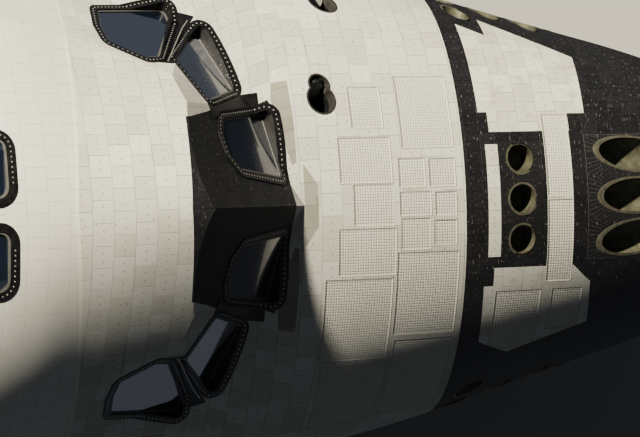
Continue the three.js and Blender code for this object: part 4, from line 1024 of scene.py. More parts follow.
def bellCurve(wide):
    # the outline of half a bell, closed at the throat and open at the mouth, from the inside round to
    # the outside
    depth, wall = bell["depth"], bell["wall"]
    throat = wide * bell["throat"]
    inside = []
    for i in range(10):
        t = i / 9
        inside.append((throat + (wide - throat) * (1 - (1 - t) ** 1.7),
                       -depth + 2 * wall + t * depth * (1 - bell["waist"])))
    return inside


def addBell(bm, mouth, outward, wide, beyond):
    depth, wall = bell["depth"], bell["wall"]
    inside = bellCurve(wide)
    outside = [(wide + wall, beyond), (wide + wall, -depth * bell["waist"])] + [
        (r + wall, z - wall) for r, z in inside[-2::-1]]
    outline = [(0, inside[0][1])] + inside + [(wide, beyond)] + outside + [(0, -depth)]
    one = bmesh.new()
    verts = [one.verts.new((r, 0, z)) for r, z in outline]
    edges = [one.edges.new(pair) for pair in zip(verts, verts[1:])]
    bmesh.ops.spin(one, geom=verts + edges, cent=(0, 0, 0), axis=(0, 0, 1), angle=2 * math.pi,
                   steps=bellMouth["sides"], use_merge=True)
    bmesh.ops.remove_doubles(one, verts=one.verts, dist=1e-6)
    bmesh.ops.recalc_face_normals(one, faces=one.faces)
    bmesh.ops.transform(one, verts=one.verts, matrix=Matrix.Translation(mouth)
                        @ outward.to_track_quat("Z", "Y").to_matrix().to_4x4())
    mesh = bpy.data.meshes.new("bell")
    one.to_mesh(mesh)
    one.free()
    bm.from_mesh(mesh)
    bpy.data.meshes.remove(mesh)


for name, (direction, mouths) in thrusters.items():
    outward = Vector(direction).normalized()
    beyond = 0.85 if direction[0] else 0.08 if direction[2] > 0 else 0.14
    bm = bmesh.new()
    rings, bores = bmesh.new(), bmesh.new()
    for station, side, height, radius in mouths:
        mouth, wide = place(station, side, height), radius * inch
        addBell(bm, mouth, outward, wide, beyond)
        addRod(rings, mouth - outward * (0.14 if direction[0] else 0.03), mouth + outward * (beyond + 0.05),
               wide + bellMouth["lipWidth"], bellMouth["sides"])
        addRod(bores, mouth - outward * 0.2, mouth + outward * (beyond + 0.08), wide + 0.003,
               bellMouth["sides"])
    bells = combine(addObject("bells_" + name, bm), trimSkin, "INTERSECT", keep=True)
    lips = combine(addObject("lips_" + name, rings), addObject("bores", bores), "DIFFERENCE")
    combine(lips, lipSkin, "INTERSECT", keep=True)
    finishPiece(bells, "root", [bellMetal], [name])
    finishPiece(lips, "root", [lipMetal])
print("thrusters ready")

# Panels of the skin that move, each cut from the same skin, with hinges like the CAD model's

hingeArm = {"reach": 0.040, "pinLap": 0.004, "below": 0.008, "above": 0.010, "play": 0.0003}
hatchHinge = {"beyond": 0.022, "out": 0.016, "radius": 0.012, "lug": 0.050, "rootNear": 0.043,
              "rootFar": 0.073, "places": (-5 * inch, 5 * inch)}
probeHinge = {"beyond": 0.014, "out": 0.014, "radius": 0.009, "lug": 0.040, "rootNear": 0.025,
              "rootFar": 0.050, "places": (-0.09, 0.09)}
# hinge steel: grey passivated, satin
hingeSteel = finish("passivated hinge steel", "8F8E8A", "77756F", 0.4, mottle=30, metallic=0.5)


def addHinges(onDoor, onShell, turn, edge, hinge):
    # the pins lie along X beyond the door's edge at Y = edge, and each lug sits between two on the shell
    away = math.copysign(1, edge)
    pinAt, out = edge + away * hinge["beyond"], hinge["out"]
    near, far = edge - away * hinge["rootNear"], edge - away * hinge["rootFar"]

    def bar(bm, low, high, yA, yB, zLow, zHigh):
        addBar(bm, turn, (low, min(yA, yB), zLow), (high, max(yA, yB), zHigh))

    for x in hinge["places"]:
        low, high = x - hinge["lug"] / 2, x + hinge["lug"] / 2
        addRod(onDoor, turn @ Vector((low, pinAt, out)), turn @ Vector((high, pinAt, out)), hinge["radius"])
        bar(onDoor, low, high, pinAt + away * hingeArm["pinLap"], far, out - hingeArm["below"],
            out + hingeArm["above"])
        bar(onDoor, low, high, near, far, -hingeArm["reach"], out)
        for shift in (-hinge["lug"] - hingeArm["play"], hinge["lug"] + hingeArm["play"]):
            addRod(onShell, turn @ Vector((low + shift, pinAt, out)), turn
                   @ Vector((high + shift, pinAt, out)), hinge["radius"])
            bar(onShell, low + shift, high + shift, pinAt, pinAt + away * hingeArm["reach"],
                -hingeArm["reach"], out)


def cutFromShell(name, source, outline, turn, low, high):
    return combine(duplicate(source, name), prismObject("outline", outline, turn, low, high), "INTERSECT")


hatchTurn = hatchBasis()
hatchPiece = cutFromShell("side_hatch_skin", shell, disc(sideHatch["radius"] * inch, count=96), hatchTurn,
                          -0.4, 0.4)
paneHole = disc(sideHatch["paneRadius"] * inch + windowSeat["play"], count=64)
combine(hatchPiece, prismObject("pane hole", paneHole, hatchTurn, -0.45, 0.45), "DIFFERENCE")
finishPiece(wrapSkin(hatchPiece), "side_hatch", [tileSkin, primer], ["side_hatch"], sharp=9)
doorHinges, shellHinges = bmesh.new(), bmesh.new()
addHinges(doorHinges, shellHinges, hatchTurn, -sideHatch["radius"] * inch, hatchHinge)
finishPiece(addObject("side_hatch_hinges", doorHinges), "side_hatch", [hingeSteel])
finishPiece(addObject("side_hatch_lugs", shellHinges), "root", [hingeSteel])
# the hatch's window ring with its screws
ring = ringPiece("side_hatch_window_ring", disc(sideHatch["paneRadius"] * inch + 0.045, count=64),
                 disc(sideHatch["paneRadius"] * inch, count=64), hatchTurn, -0.05, 0.1, proudSkin)
finishPiece(ring, "side_hatch", [blackEnamel], sharp=25)
bm = bmesh.new()
addScrews(bm, walk(disc(sideHatch["paneRadius"] * inch + 0.022, count=64), windowFrame["pitch"]), hatchTurn,
          windowFrame["screw"])
finishPiece(addObject("side_hatch_window_screws", bm), "side_hatch", [fastenerSteel], sharp=40)

lugs = bmesh.new()
for side, sign in bothSides.items():
    turn = probeBasis(sign)
    halfX, halfY = airProbe["length"] / 2 * inch, airProbe["width"] / 2 * inch
    lower = -1 if (turn.to_3x3() @ Vector((0, 1, 0))).z > 0 else 1
    edge = lower * halfY
    cover = cutFromShell("air_data_probe_cover_" + side, shell,
                         rounded(rectangle(halfX, halfY), airProbe["corner"], 8), turn, -0.12, 0.12)
    pin = [turn @ Vector((x, edge + lower * probeHinge["beyond"], probeHinge["out"])) for x in (-0.4, 0.4)]
    bm = bmesh.new()
    addRod(bm, *pin, 2 * halfY + airProbe["sweepBeyond"], 96)
    combine(cover, addObject("sweep", bm), "INTERSECT")
    finishPiece(wrapSkin(cover), "air_data_probe_" + side, [tileSkin, primer],
                ["air_data_probe_" + side], sharp=9)
    bm = bmesh.new()
    addHinges(bm, lugs, turn, edge, probeHinge)
    finishPiece(addObject("air_data_probe_hinge_" + side, bm), "air_data_probe_" + side,
                [hingeSteel])
    reach = lower * (halfY - airProbe["mastReach"] * inch)
    depth = -hull["thickness"] - airProbe["mastHeight"] * inch
    half = airProbe["tubeLength"] / 2 * inch
    bm = bmesh.new()
    addRod(bm, turn @ Vector((-0.06, reach, 0.015 - hull["thickness"])), turn @ Vector((-0.06, reach, depth)),
           0.022, 32, 0.014)
    # the tube: a stout hemispherical head with a taper, then the straight barrel and its end
    radius = airProbe["tubeRadius"] * inch
    for start, end, first, last in ((-half, -half + 0.02, 0.8, 1), (-half + 0.02, half * 0.45, 1, 1),
                                    (half * 0.45, half * 0.8, 1, 0.72),
                                    (half * 0.8, half * 0.97, 0.72, 0.55)):
        addRod(bm, turn @ Vector((start, reach, depth)), turn @ Vector((end, reach, depth)),
               radius * first, 32, radius * last)
    finishPiece(addObject("air_data_probe_tube_" + side, bm), "air_data_probe_" + side,
                [hingeSteel])
finishPiece(addObject("air_data_probe_lugs", lugs), "root", [hingeSteel])
print("hatch and air data probes ready")

# Star tracker doors, hung open in their wells, and the trackers' hoods below. The pin's place is worked
# out from the roof, and comes out up to 18 mm from the record's joint.

starWell = {"reach": 0.345, "halfWidth": 0.145, "sheet": 0.003, "behind": 0.045, "top": 0.026, "rim": 0.016,
            "hoodRadius": 0.085}
starPin = {"depth": 0.035, "radius": 0.009, "lug": 0.040, "armReach": 0.050}
# well lining: black anodised sheet, matt
wellBlack = finish("black anodised sheet", "17181A", "222325", 0.6, mottle=90)
# hood of the tracker: bright machined aluminium
hoodMetal = finish("machined aluminium hood", "B4B3AE", "94938E", 0.3, mottle=40, metallic=0.8)
# seal round the opening: dark grey coating on metal
rimPaint = finish("grey coated sealing rim", "4E4D49", "3A3936", 0.5, mottle=30, spread=0.3)
doorSheet = duplicate(outerSolid, "door sheet")
combine(doorSheet, hullSolid("under the doors", starDoor["thickness"]), "DIFFERENCE")
for name, (station, side) in starDoors.items():
    turn = roofBasis(station, side)
    fromCentre = (starDoor["apart"] + starDoor["smallRadius"]) * inch - starDoor["pinFromEnd"]
    across = (turn.to_3x3() @ Vector((0, 1, 0))).y
    pinTurn = roofBasis(station, side + across * fromCentre / inch)
    pinSpot = Vector((0, 0, -starPin["depth"]))
    hang = (pinTurn @ Matrix.Translation(pinSpot) @ Matrix.Rotation(math.radians(90), 4, "X")
            @ Matrix.Translation(-pinSpot) @ pinTurn.inverted())
    door = wrapSkin(cutFromShell(name + "_skin", doorSheet, starLobes(0), turn, -0.15, 0.3))
    upward = turn.to_3x3() @ Vector((0, 0, 1))
    for face in door.data.polygons:
        if abs(face.normal @ upward) < 0.6:
            face.material_index = 1
    half, radius = starPin["lug"] / 2, starPin["radius"]
    bm = bmesh.new()
    depth = starPin["depth"]
    addRod(bm, pinTurn @ Vector((-half, 0, -depth)), pinTurn @ Vector((half, 0, -depth)), radius)
    addBar(bm, pinTurn, (-half, -radius, -depth), (half, radius, -starDoor["thickness"] + radius))
    neck = addObject(name + "_neck", bm)
    for piece in (door, neck):
        piece.data.transform(hang)
    finishPiece(door, name, [tileSkin, wellBlack], [name], sharp=9)
    finishPiece(neck, name, [wellBlack])
    bm = bmesh.new()
    for low, high in ((half + 0.0003, half + starPin["lug"]), (-half - starPin["lug"], -half - 0.0003)):
        addRod(bm, pinTurn @ Vector((low, 0, -depth)), pinTurn @ Vector((high, 0, -depth)), radius)
        addBar(bm, pinTurn, (low, 0, -depth - radius), (high, starPin["armReach"], -depth + radius))
    finishPiece(addObject(name + "_lugs", bm), "root", [wellBlack])
    rim = ringPiece(name + "_rim", starLobes(starDoor["gap"] + starWell["rim"]),
                    starLobes(starDoor["gap"] - 0.0005), turn, -0.1, 0.1, lipSkin)
    finishPiece(rim, "root", [rimPaint], sharp=25)
    # the well: a quarter round sheet box under the opening
    well = starWell
    arc = [(-well["reach"] * math.cos(t), -starPin["depth"] - well["reach"] * math.sin(t))
           for t in np.linspace(0, math.pi / 2, 16)]
    outline = [(well["behind"], -well["top"] - 0.02)] + [(-well["reach"], -well["top"] - 0.02)] + arc
    outline.append((well["behind"], arc[-1][1]))
    # X of the outline runs along the door's Y, and its Y along the height
    wellTurn = pinTurn @ Matrix(((0, 0, 1, 0), (1, 0, 0, 0), (0, 1, 0, 0), (0, 0, 0, 1)))
    box = prismObject(name + "_well", outline, wellTurn, -well["halfWidth"], well["halfWidth"])
    inner = [(x + (well["sheet"] if x < 0 else -well["sheet"]), z + (well["sheet"] if z < -0.1 else 0.2))
             for x, z in outline]
    halfRoom = well["halfWidth"] - well["sheet"]
    combine(box, prismObject("well room", inner, wellTurn, -halfRoom, halfRoom), "DIFFERENCE")
    finishPiece(box, "root", [wellBlack])
    # the tracker's hood, set in the far wall and aimed at the opening
    aim = Vector((0, math.cos(math.radians(62)), math.sin(math.radians(62))))
    seat = Vector((0, 0, -starPin["depth"])) - aim * (well["reach"] - 0.004)
    bm = bmesh.new()
    addRod(bm, pinTurn @ seat, pinTurn @ (seat + aim * 0.008), well["hoodRadius"], 48)
    addRod(bm, pinTurn @ seat, pinTurn @ (seat - aim * 0.02), well["hoodRadius"], 48)
    hood = addObject(name + "_hood", bm)
    bm = bmesh.new()
    addRod(bm, pinTurn @ (seat - aim * 0.006), pinTurn @ (seat + aim * 0.02), well["hoodRadius"] - 0.012, 48,
           well["hoodRadius"] - 0.008)
    combine(hood, addObject("bore", bm), "DIFFERENCE")
    finishPiece(hood, "root", [hoodMetal])
print("star tracker doors ready")

# Nose gear doors: the skin under the well in two halves, hung open, with the CAD model's three arms each

gearDoor = {"foreHinge": 296.2, "aftHinge": 286, "middleGap": 0.1, "arms": (300, 330, 360),
            "halfLength": 0.020, "footLow": 6, "footHigh": 1.5, "footInset": 0.6, "stemInner": 1.4,
            "stemOuter": 0.5, "headLow": 5.5, "headHigh": 8, "wallSide": 18.2}
for side, sign in bothSides.items():
    fore = place(gearWell["fore"], sign * gearWell["halfWidth"], gearDoor["foreHinge"])
    aft = place(gearWell["aft"], sign * gearWell["halfWidth"], gearDoor["aftHinge"])
    hang = (Matrix.Translation(aft) @ Matrix.Rotation(sign * math.radians(90), 4, fore - aft)
            @ Matrix.Translation(-aft))
    piece = duplicate(shell, "gear_door_skin_" + side)
    bm = bmesh.new()
    sides = sorted((sign * gearDoor["middleGap"], sign * gearWell["halfWidth"]))
    addBlock(bm, gearWell["fore"], gearWell["aft"], *sides, 200, 320)
    combine(piece, addObject("box", bm), "INTERSECT")
    wrapSkin(piece)
    piece.data.transform(hang)
    finishPiece(piece, "root", [tileSkin, primer], ["gear_door_" + side], sharp=9)
    bm = bmesh.new()
    for station in gearDoor["arms"]:
        share = (station - gearWell["fore"]) / (gearWell["aft"] - gearWell["fore"])
        hinge = gearDoor["foreHinge"] + (gearDoor["aftHinge"] - gearDoor["foreHinge"]) * share
        belly = bellyHeight(station, gearWell["halfWidth"])
        outer = gearWell["halfWidth"] - (belly - hinge)
        inner = outer - hull["thickness"] / inch
        d = gearDoor
        outline = [(inner - d["stemInner"], hinge - d["footLow"]),
                   (outer - d["footInset"], hinge - d["footLow"]),
                   (outer - d["footInset"], hinge - d["footHigh"]),
                   (inner + d["stemOuter"], hinge - d["footHigh"]),
                   (inner + d["stemOuter"], belly + d["headLow"]),
                   (d["wallSide"] - 0.012, belly + d["headLow"]),
                   (d["wallSide"] - 0.012, belly + d["headHigh"]),
                   (inner - d["stemInner"], belly + d["headHigh"])]
        turn = basis(place(station, 0, 0), (0, 1, 0), (0, 0, 1), (1, 0, 0))
        addPrism(bm, [(sign * y * inch, z * inch) for y, z in outline], turn, -d["halfLength"],
                 d["halfLength"])
    arms = addObject("gear_door_arms_" + side, bm)
    finishPiece(bevelled(arms, 0.003, 2, 30), "root", [hingeSteel])
print("gear doors ready")

# Nose gear. Sizes in inches, as in the CAD model

gear = {"station": 372, "trunnion": 308, "trunnionRadius": 2.6, "legRadius": 4, "legBottom": 262,
        "legTop": 314, "pistonRadius": 2.8, "collarRadius": 4.6, "collarHeight": 3, "knuckleRadius": 2.6,
        "knuckleHalf": 3.3, "axleHeight": 234, "axleRadius": 1.6, "wheelSide": 8.5, "halfTyre": 4.4,
        "play": 0.012, "wall": 18.19}
brace = {"station": 334, "height": 326, "barRadius": 1.8, "spread": 9, "strutRadius": 1.3, "eyeAhead": 9.4,
         "eyeHeight": 283, "eyeRadius": 1.89, "eyeHalf": 2.2, "eyeSpread": 0.8}
link = {"radius": 0.9, "spread": 1.8, "knee": (9, 247), "ends": [(2, 260.5), (1, 235.5)]}
# gear paint: glossy white enamel on forged alloy
gearWhite = finish("gloss white gear enamel", "E2E1DC", "CFCDC6", 0.3, mottle=150, grain=1.5, relief=0.05)
# polished hard chrome of the piston
chrome = finish("hard chrome plating", "C9C9C6", "B5B5B2", 0.12, mottle=80, metallic=1.0, relief=0.02)
# natural rubber tread, matt, dusty and a little grey
rubber = finish("worn tyre rubber", "1C1C1B", "2E2C2A", 0.85, mottle=60, grain=1.2, relief=0.2)
# forged wheel alloy under clear coat
wheelMetal = finish("forged wheel alloy", "B4B3AE", "97968F", 0.35, mottle=60, metallic=0.85, relief=0.05)
# hydraulic hose: black rubber cover
hoseBlack = finish("black hydraulic hose", "1D1D1E", "2A2A2B", 0.5, mottle=20)


def rodPiece(name, body, material, rods, nodes=(), bevel=0.0015, blocks=()):
    bm = bmesh.new()
    for start, end, radius, *more in rods:
        addRod(bm, start, end, radius * inch, more[0] if more else 40)
    for block in blocks:
        addBlock(bm, *block)
    return finishPiece(bevelled(addObject(name, bm), bevel, 2), body, [material], nodes)


def onLeg(height, ahead=0, side=0):
    return place(gear["station"] - ahead, side, height)


def crossed(height, half, radius, ahead=0, station=None):
    station = gear["station"] - ahead if station is None else station
    return (place(station, -half, height), place(station, half, height), radius)


rodPiece("gear_leg_fine", "root", gearWhite,
         [(onLeg(gear["legBottom"]), onLeg(gear["legTop"]), gear["legRadius"]),
          (onLeg(300), onLeg(303), gear["legRadius"] * 1.12),
          (onLeg(276), onLeg(278), gear["legRadius"] * 1.1),
          (onLeg(gear["legBottom"]), onLeg(gear["legBottom"] + 2.5), gear["legRadius"] * 1.15),
          crossed(gear["trunnion"], gear["wall"], gear["trunnionRadius"]),
          crossed(gear["trunnion"], 6, gear["trunnionRadius"] * 1.35)], ["gear_leg"],
         blocks=[(gear["station"] - brace["eyeAhead"] + brace["eyeRadius"] + 0.01, gear["station"], -1.5,
                  1.5, brace["eyeHeight"] - 2, brace["eyeHeight"] + 2)])
struts = [(place(gear["station"] - brace["eyeAhead"], s * brace["eyeSpread"], brace["eyeHeight"]),
           place(brace["station"], s * brace["spread"], brace["height"]), brace["strutRadius"])
          for s in (-1, 1)]
collars = [(start.lerp(end, 0.12), start.lerp(end, 0.16), radius * 1.35) for start, end, radius in struts]
rodPiece("drag_brace_fine", "root", gearWhite, struts + collars + [
    crossed(brace["height"], gear["wall"], brace["barRadius"], station=brace["station"]),
    crossed(brace["eyeHeight"], brace["eyeHalf"], brace["eyeRadius"], brace["eyeAhead"])], ["drag_brace"])
postTop = gear["legBottom"] - gear["play"]
knee = onLeg(link["knee"][1], -link["knee"][0])
rodPiece("piston_fine", "nose_steering", chrome,
         [(onLeg(gear["axleHeight"] + 3), onLeg(postTop), gear["pistonRadius"], 64)])
rodPiece("steering_post_fine", "nose_steering", gearWhite,
         [(onLeg(gear["legBottom"] - gear["collarHeight"]), onLeg(postTop), gear["collarRadius"]),
          (onLeg(gear["axleHeight"]), onLeg(gear["axleHeight"] + 5), gear["pistonRadius"] * 1.05),
          crossed(gear["axleHeight"], gear["knuckleHalf"], gear["knuckleRadius"]),
          crossed(gear["axleHeight"], gear["wheelSide"] + gear["halfTyre"], gear["axleRadius"])]
         + [(onLeg(height, -aft, s * link["spread"]), knee, link["radius"], 16)
            for s in (-1, 1) for aft, height in link["ends"]]
         + [(knee + Vector((0, -0.03, 0)), knee + Vector((0, 0.03, 0)), 0.8)], ["steering_post"])


def turnedPiece(name, outline, side, segments, material, nodes):
    # outline: radius and distance from the wheel's middle, closed, in inches
    bm = bmesh.new()
    verts = [bm.verts.new((0, x * inch, radius * inch)) for radius, x in outline]
    edges = [bm.edges.new(pair) for pair in zip(verts, verts[1:] + verts[:1])]
    bmesh.ops.spin(bm, geom=verts + edges, cent=(0, 0, 0), axis=(0, 1, 0), angle=2 * math.pi, steps=segments,
                   use_merge=True)
    bmesh.ops.recalc_face_normals(bm, faces=bm.faces)
    bmesh.ops.translate(bm, verts=bm.verts, vec=onLeg(gear["axleHeight"], 0, side))
    return finishPiece(addObject(name, bm), "nose_wheels", [material], nodes, sharp=35)


def tyreOutline():
    half = gear["halfTyre"]
    turns = np.linspace(-1, 1, 41)
    outer = []
    for t in turns:
        angle = t * math.radians(100)
        x = math.copysign(abs(math.sin(angle)) ** 0.72, t) * half
        radius = 11.0 + 5.0 * max(0, math.cos(angle)) ** 0.5 if abs(t) < 0.9 else 11.0
        outer.append((radius, x))
    for groove in (-2.1, -0.7, 0.7, 2.1):
        depth = float(np.interp(groove, [x for _, x in outer], [r for r, _ in outer]))
        cut = [(depth, groove - 0.17), (depth - 0.22, groove - 0.12), (depth - 0.22, groove + 0.12),
               (depth, groove + 0.17)]
        outer = [p for p in outer if p[1] < groove - 0.17] + cut + [p for p in outer if p[1] > groove + 0.17]
    bead = 8.42
    return [(bead, -3.17), (9.2, -3.75), (10.2, -4.15)] + [p for p in outer if p[0] > 11] + [
        (10.2, 4.15), (9.2, 3.75), (bead, 3.17)]


def wheelOutline():
    bore = gear["axleRadius"] + 0.04
    outer = [(bore, 2.6), (2.7, 2.6), (3.0, 2.4), (3.3, 1.35), (3.7, 1.05), (6.2, 1.2), (6.7, 1.5),
             (7.1, 2.6), (7.3, 3.0), (8.1, 3.17), (8.38, 3.1), (8.4, 2.8)]
    return outer + [(r, -x) for r, x in outer[::-1]]


for side, sign in bothSides.items():
    turnedPiece("tyre_fine_" + side, tyreOutline(), sign * gear["wheelSide"], 96, rubber,
                ["tyre_" + side])
    turnedPiece("wheel_fine_" + side, wheelOutline(), sign * gear["wheelSide"], 72, wheelMetal,
                ["wheel_" + side])
    bm = bmesh.new()
    for i in range(9):
        turn = 2 * math.pi * i / 9
        spot = onLeg(gear["axleHeight"], 5.1 * math.cos(turn), sign * gear["wheelSide"])
        spot.z += 5.1 * math.sin(turn) * inch
        for face in (1, -1):
            addRod(bm, spot + Vector((0, face * 1.0 * inch, 0)), spot + Vector((0, face * 1.55 * inch, 0)),
                   0.42 * inch, 6)
    finishPiece(addObject("wheel_bolts_" + side, bm), "nose_wheels", [fastenerSteel])
# a short hydraulic hose along the front of the leg
curve = bpy.data.curves.new("hose", "CURVE")
curve.dimensions = "3D"
curve.bevel_depth = 0.007
curve.bevel_resolution = 5
line = curve.splines.new("BEZIER")
spots = [onLeg(309, 4.5, 3), onLeg(296, 4.6, 1.8), onLeg(280, 4.5, 2.2), onLeg(266, 4.6, 1.6)]
line.bezier_points.add(len(spots) - 1)
for point, spot in zip(line.bezier_points, spots):
    point.co = spot
    point.handle_left_type = point.handle_right_type = "AUTO"
spare = bpy.data.objects.new("hose curve", curve)
bpy.context.scene.collection.objects.link(spare)
bpy.context.view_layer.update()
hose = bpy.data.objects.new("gear_hose", bpy.data.meshes.new_from_object(spare))
bpy.context.scene.collection.objects.link(hose)
bpy.data.objects.remove(spare)
finishPiece(hose, "root", [hoseBlack])
print("nose gear ready")

# Cabin and bulkhead

# cabin paint: matt warm grey, wiped and scuffed
cabinPaint = finish("matt grey cabin paint", "6E7173", "606365", 0.6, mottle=200, relief=0.05)
# instrument panels: matt black paint
panelBlack = finish("matt black instrument paint", "232526", "2F3132", 0.55, mottle=120)
# display glass: black and glossy
screenGlass = finish("dark display glass", "0C1416", "131E22", 0.12, mottle=90, relief=0.0, Coat_Weight=0.5)
# switch caps: off-white plastic
legend = finish("off-white switch plastic", "C7C5BC", "A9A79F", 0.5, mottle=20)
# woven seat cover: blue grey cloth over foam
seatWeave = finish("woven seat cover", "46525C", "394550", 0.9, mottle=8, grain=1.5, spread=0.2, relief=0.4)
# seat harness: beige webbing
harness = finish("webbing strap", "A7A08A", "8D8672", 0.85, mottle=6, grain=1.0, relief=0.3)
# tank fitting: bare machined titanium
bareMetal = finish("machined titanium fitting", "A19E97", "85827B", 0.35, mottle=60, metallic=0.9)

shownNodes = {"wheel_well": primer, "airlock_hatch": primer, "flight_deck": cabinPaint,
              "mid_deck": cabinPaint, "instrument_panel": panelBlack, "aft_console": panelBlack,
              "tank_fitting": bareMetal}
for name, material in shownNodes.items():
    node = bpy.data.objects[name]
    node.data.materials.clear()
    node.data.materials.append(material)

seat = {"station": 498, "side": 22, "deck": 418.012, "width": 19}


def cushion(name, box, puff, levels=2):
    bm = bmesh.new()
    addBlock(bm, *box)
    bmesh.ops.subdivide_edges(bm, edges=bm.edges, cuts=3, use_grid_fill=True)
    middle = sum((v.co for v in bm.verts), Vector()) / len(bm.verts)
    size = [max(abs((v.co - middle)[i]) for v in bm.verts) for i in range(3)]
    for vert in bm.verts:
        away = vert.co - middle
        share = [away[i] / size[i] for i in range(3)]
        dome = (1 - share[0] ** 2 * 0.5) * (1 - share[1] ** 2 * 0.5) * (1 - share[2] ** 2 * 0.5)
        vert.co += Vector([s * puff * dome if abs(s) > 0.99 else 0 for s in share])
    piece = addObject(name, bm)
    modifier = piece.modifiers.new("soft", "SUBSURF")
    modifier.levels = modifier.render_levels = levels
    settle(piece)
    return finishPiece(piece, "root", [seatWeave], sharp=60)


for side, sign in bothSides.items():
    centre, deck = sign * seat["side"], seat["deck"]
    left, right = centre - seat["width"] / 2, centre + seat["width"] / 2
    fore, aft = seat["station"] - 17, seat["station"]
    cushion("seat_pan_cushion_" + side,
                      (fore, aft - 0.5, left, right, deck + 11.6, deck + 15), 0.008)
    cushion("seat_back_cushion_" + side,
                      (aft - 0.2, aft + 3, left, right, deck + 15.2, deck + 34), 0.008)
    cushion("seat_head_cushion_" + side,
                      (aft + 0.2, aft + 3.4, centre - 5, centre + 5, deck + 35, deck + 44), 0.006)
    bm = bmesh.new()
    # frame: seat tray, back plate with side rails, head post, pedestal on two floor rails
    addBlock(bm, fore, aft + 4, left, right, deck + 11, deck + 11.8)
    addBlock(bm, aft + 3, aft + 4, left + 0.5, right - 0.5, deck + 11, deck + 34)
    addBlock(bm, aft + 3, aft + 4, centre - 2, centre + 2, deck + 33, deck + 43)
    for rail in (left, right - 0.8):
        addBlock(bm, aft - 0.5, aft + 4, rail, rail + 0.8, deck + 12, deck + 30)
        addBlock(bm, fore + 4, aft, rail, rail + 0.8, deck + 18.2, deck + 19.6)
    addBlock(bm, fore + 3, aft - 1, centre - 6, centre - 4.6, deck, deck + 11.2)
    addBlock(bm, fore + 3, aft - 1, centre + 4.6, centre + 6, deck, deck + 11.2)
    addBlock(bm, fore + 5, fore + 6.2, centre - 5, centre + 5, deck + 3, deck + 9)
    for rail in (centre - 6, centre + 4.6):
        addBlock(bm, fore - 1, aft + 3, rail - 0.4, rail + 1.8, deck, deck + 0.8)
    finishPiece(bevelled(addObject("seat_frame_" + side, bm), 0.004), "root", [cabinPaint],
                ["seat_" + side])
    bm = bmesh.new()
    for strap in (-5.5, 4):
        addBlock(bm, aft - 0.45, aft - 0.3, centre + strap, centre + strap + 1.6, deck + 16, deck + 33.5)
        addBlock(bm, fore + 3, aft - 1, centre + strap, centre + strap + 1.6, deck + 15.2, deck + 15.35)
    addBlock(bm, aft - 4.6, aft - 2.4, centre - 1.4, centre + 1.4, deck + 15.3, deck + 15.9)
    finishPiece(bevelled(addObject("seat_harness_" + side, bm), 0.001), "root", [harness])

# instrument panel: framed displays over rows of switches, set on the face that the crew looks at
bm, screens, switches = bmesh.new(), bmesh.new(), bmesh.new()
for column in range(-4, 5):
    for row, height in enumerate((433.6, 426)):
        middle = column * 7.1
        if row and abs(middle) < 7:
            continue
        addBlock(bm, 472.9, 473.3, middle - 3.1, middle + 3.1, height - 3, height + 3)
        addBlock(screens, 473.2, 473.42, middle - 2.6, middle + 2.6, height - 2.3, height + 2.5)
        for key in range(6):
            across = middle - 2.4 + key * 0.9
            addBlock(switches, 473.2, 473.6, across, across + 0.45, height - 2.85, height - 2.5)
random.seed(4)
for station in np.arange(477, 499, 1.6):
    for across in np.arange(-5, 5.1, 1.1):
        if random.random() < 0.8:
            addBlock(switches, station, station + 0.6, across, across + 0.45, 437.9, 438.35
                     + random.random() * 0.3)
for height in np.arange(424, 453, 2.2):
    for across in np.arange(-28, 28.1, 1.5):
        if random.random() < 0.6:
            addBlock(switches, 566.5, 567.1, across, across + 0.6, height, height + 0.6)
finishPiece(bevelled(addObject("instrument_bezels", bm), 0.003), "root", [cabinPaint])
finishPiece(bevelled(addObject("instrument_displays", screens), 0.002), "root", [screenGlass])
finishPiece(addObject("instrument_switches", switches), "root", [legend])

# hand controllers ahead of the seats
bm = bmesh.new()
for sign in (-1, 1):
    foot = place(478, sign * 22, 429)
    addRod(bm, foot, foot + Vector((-0.02, 0, 0.11)), 0.012, 24)
    addRod(bm, foot + Vector((-0.02, 0, 0.11)), foot + Vector((-0.01, 0, 0.22)), 0.02, 24, 0.024)
    addBlock(bm, 473.2, 479, sign * 22 - 1, sign * 22 + 1, 427.4, 429.3)
finishPiece(bevelled(addObject("hand_controllers", bm), 0.003), "root", [panelBlack])

# bulkhead: a machined plate with pockets between its ribs, and the joining bolts round its edge
bulkhead = {"thickness": 80 * mm, "pocket": 0.024, "pitch": (17, 19), "rib": 1.1, "round": 0.03, "gap": 0.006,
            "hatch": (360, 20, 0.6), "window": (6, 20.5, 462, 476.5, 3)}
faceTurn = basis(Vector((0, 0, 0)), (0, 1, 0), (0, 0, 1), (1, 0, 0))


def hatchOutline(grow):
    height, radius, share = bulkhead["hatch"]
    wide = radius * inch + grow
    middle = (height - datumHeight) * inch
    flat = radius * share * inch + grow
    angle = math.asin(flat / wide)
    turns = np.linspace(math.pi - angle, 2 * math.pi + angle, 64)
    return [(wide * math.cos(a), middle + wide * math.sin(a)) for a in turns]


def aftWindowOutline(sign, grow):
    inner, outer, low, high, corner = bulkhead["window"]
    corners = rectangle((outer - inner) / 2 * inch + grow, (high - low) / 2 * inch + grow)
    centre = (sign * (inner + outer) / 2 * inch, ((low + high) / 2 - datumHeight) * inch)
    return [(x + centre[0], y + centre[1]) for x, y in rounded(corners, corner * inch + grow, 8)]


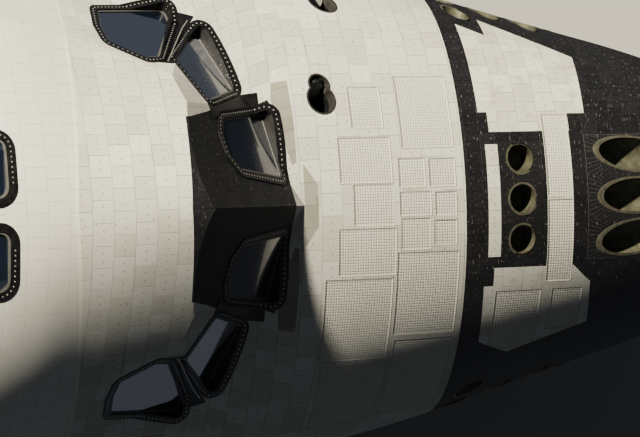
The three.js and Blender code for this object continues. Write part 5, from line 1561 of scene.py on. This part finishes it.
plate = duplicate(outerSolid, "bulkhead_plate")
bm = bmesh.new()
addBar(bm, Matrix.Identity(4), (0, -3, -4), (bulkhead["thickness"], 3, 3))
combine(plate, addObject("slab", bm), "INTERSECT")
bm = bmesh.new()
addPrism(bm, hatchOutline(bulkhead["gap"]), faceTurn, -0.1, 0.3)
for sign in bothSides.values():
    addPrism(bm, aftWindowOutline(sign, windowSeat["play"]), faceTurn, -0.1, 0.3)
combine(plate, addObject("bulkhead openings", bm), "DIFFERENCE")
bm = bmesh.new()
for column in range(-6, 6):
    for row in range(-6, 6):
        left, low = column * bulkhead["pitch"][0], 400 + row * bulkhead["pitch"][1] - 4
        right, high = left + bulkhead["pitch"][0], low + bulkhead["pitch"][1]
        nearHatch = left < 25 and right > -25 and low < 382 and high > 334
        nearWindow = left < 26 and right > -26 and low < 482 and high > 456
        if nearHatch or nearWindow:
            continue
        half = [(right - left) / 2 - bulkhead["rib"], (high - low) / 2 - bulkhead["rib"]]
        middle = ((left + right) / 2 * inch, ((low + high) / 2 - datumHeight) * inch)
        corners = rounded(rectangle(half[0] * inch, half[1] * inch), bulkhead["round"], 5)
        addPrism(bm, [(x + middle[0], y + middle[1]) for x, y in corners], faceTurn, -0.01,
                 bulkhead["pocket"])
pockets = combine(addObject("bulkhead pockets", bm), innerSolid, "INTERSECT", keep=True)
combine(plate, pockets, "DIFFERENCE")
finishPiece(plate, "root", [primer], ["aft_bulkhead"])
bolts = bmesh.new()
rim = section(581.5, True, 60)
for side, height in rim[::2]:
    if height > 345:
        inward = Vector((side, height - datumHeight)).normalized() * 1.2
        spot = place(582, side - inward.x, height - inward.y)
        addRod(bolts, spot + Vector((-0.006, 0, 0)), spot + Vector((0.01, 0, 0)), 0.011, 6)
for i in range(36):
    turn = math.pi - 0.64 + (math.pi + 1.28) * i / 35
    spot = place(582, 22 * math.cos(turn), bulkhead["hatch"][0] + 22 * math.sin(turn))
    addRod(bolts, spot + Vector((-0.004, 0, 0)), spot + Vector((0.01, 0, 0)), 0.007, 6)
finishPiece(addObject("bulkhead_bolts", bolts), "root", [fastenerSteel])
for side, sign in bothSides.items():
    ring = prismObject("aft_window_ring_" + side, aftWindowOutline(sign, 0.045), faceTurn, -0.006, 0.01)
    combine(ring, prismObject("ring hole", aftWindowOutline(sign, -0.002), faceTurn, -0.02, 0.02),
            "DIFFERENCE")
    finishPiece(bevelled(ring, 0.002), "root", [blackEnamel])
print("cabin and bulkhead ready")

for spare in (outerSolid, innerSolid, shell, pierced, proudSkin, trimSkin, lipSkin, doorSheet):
    bpy.data.objects.remove(spare)
low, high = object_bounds()
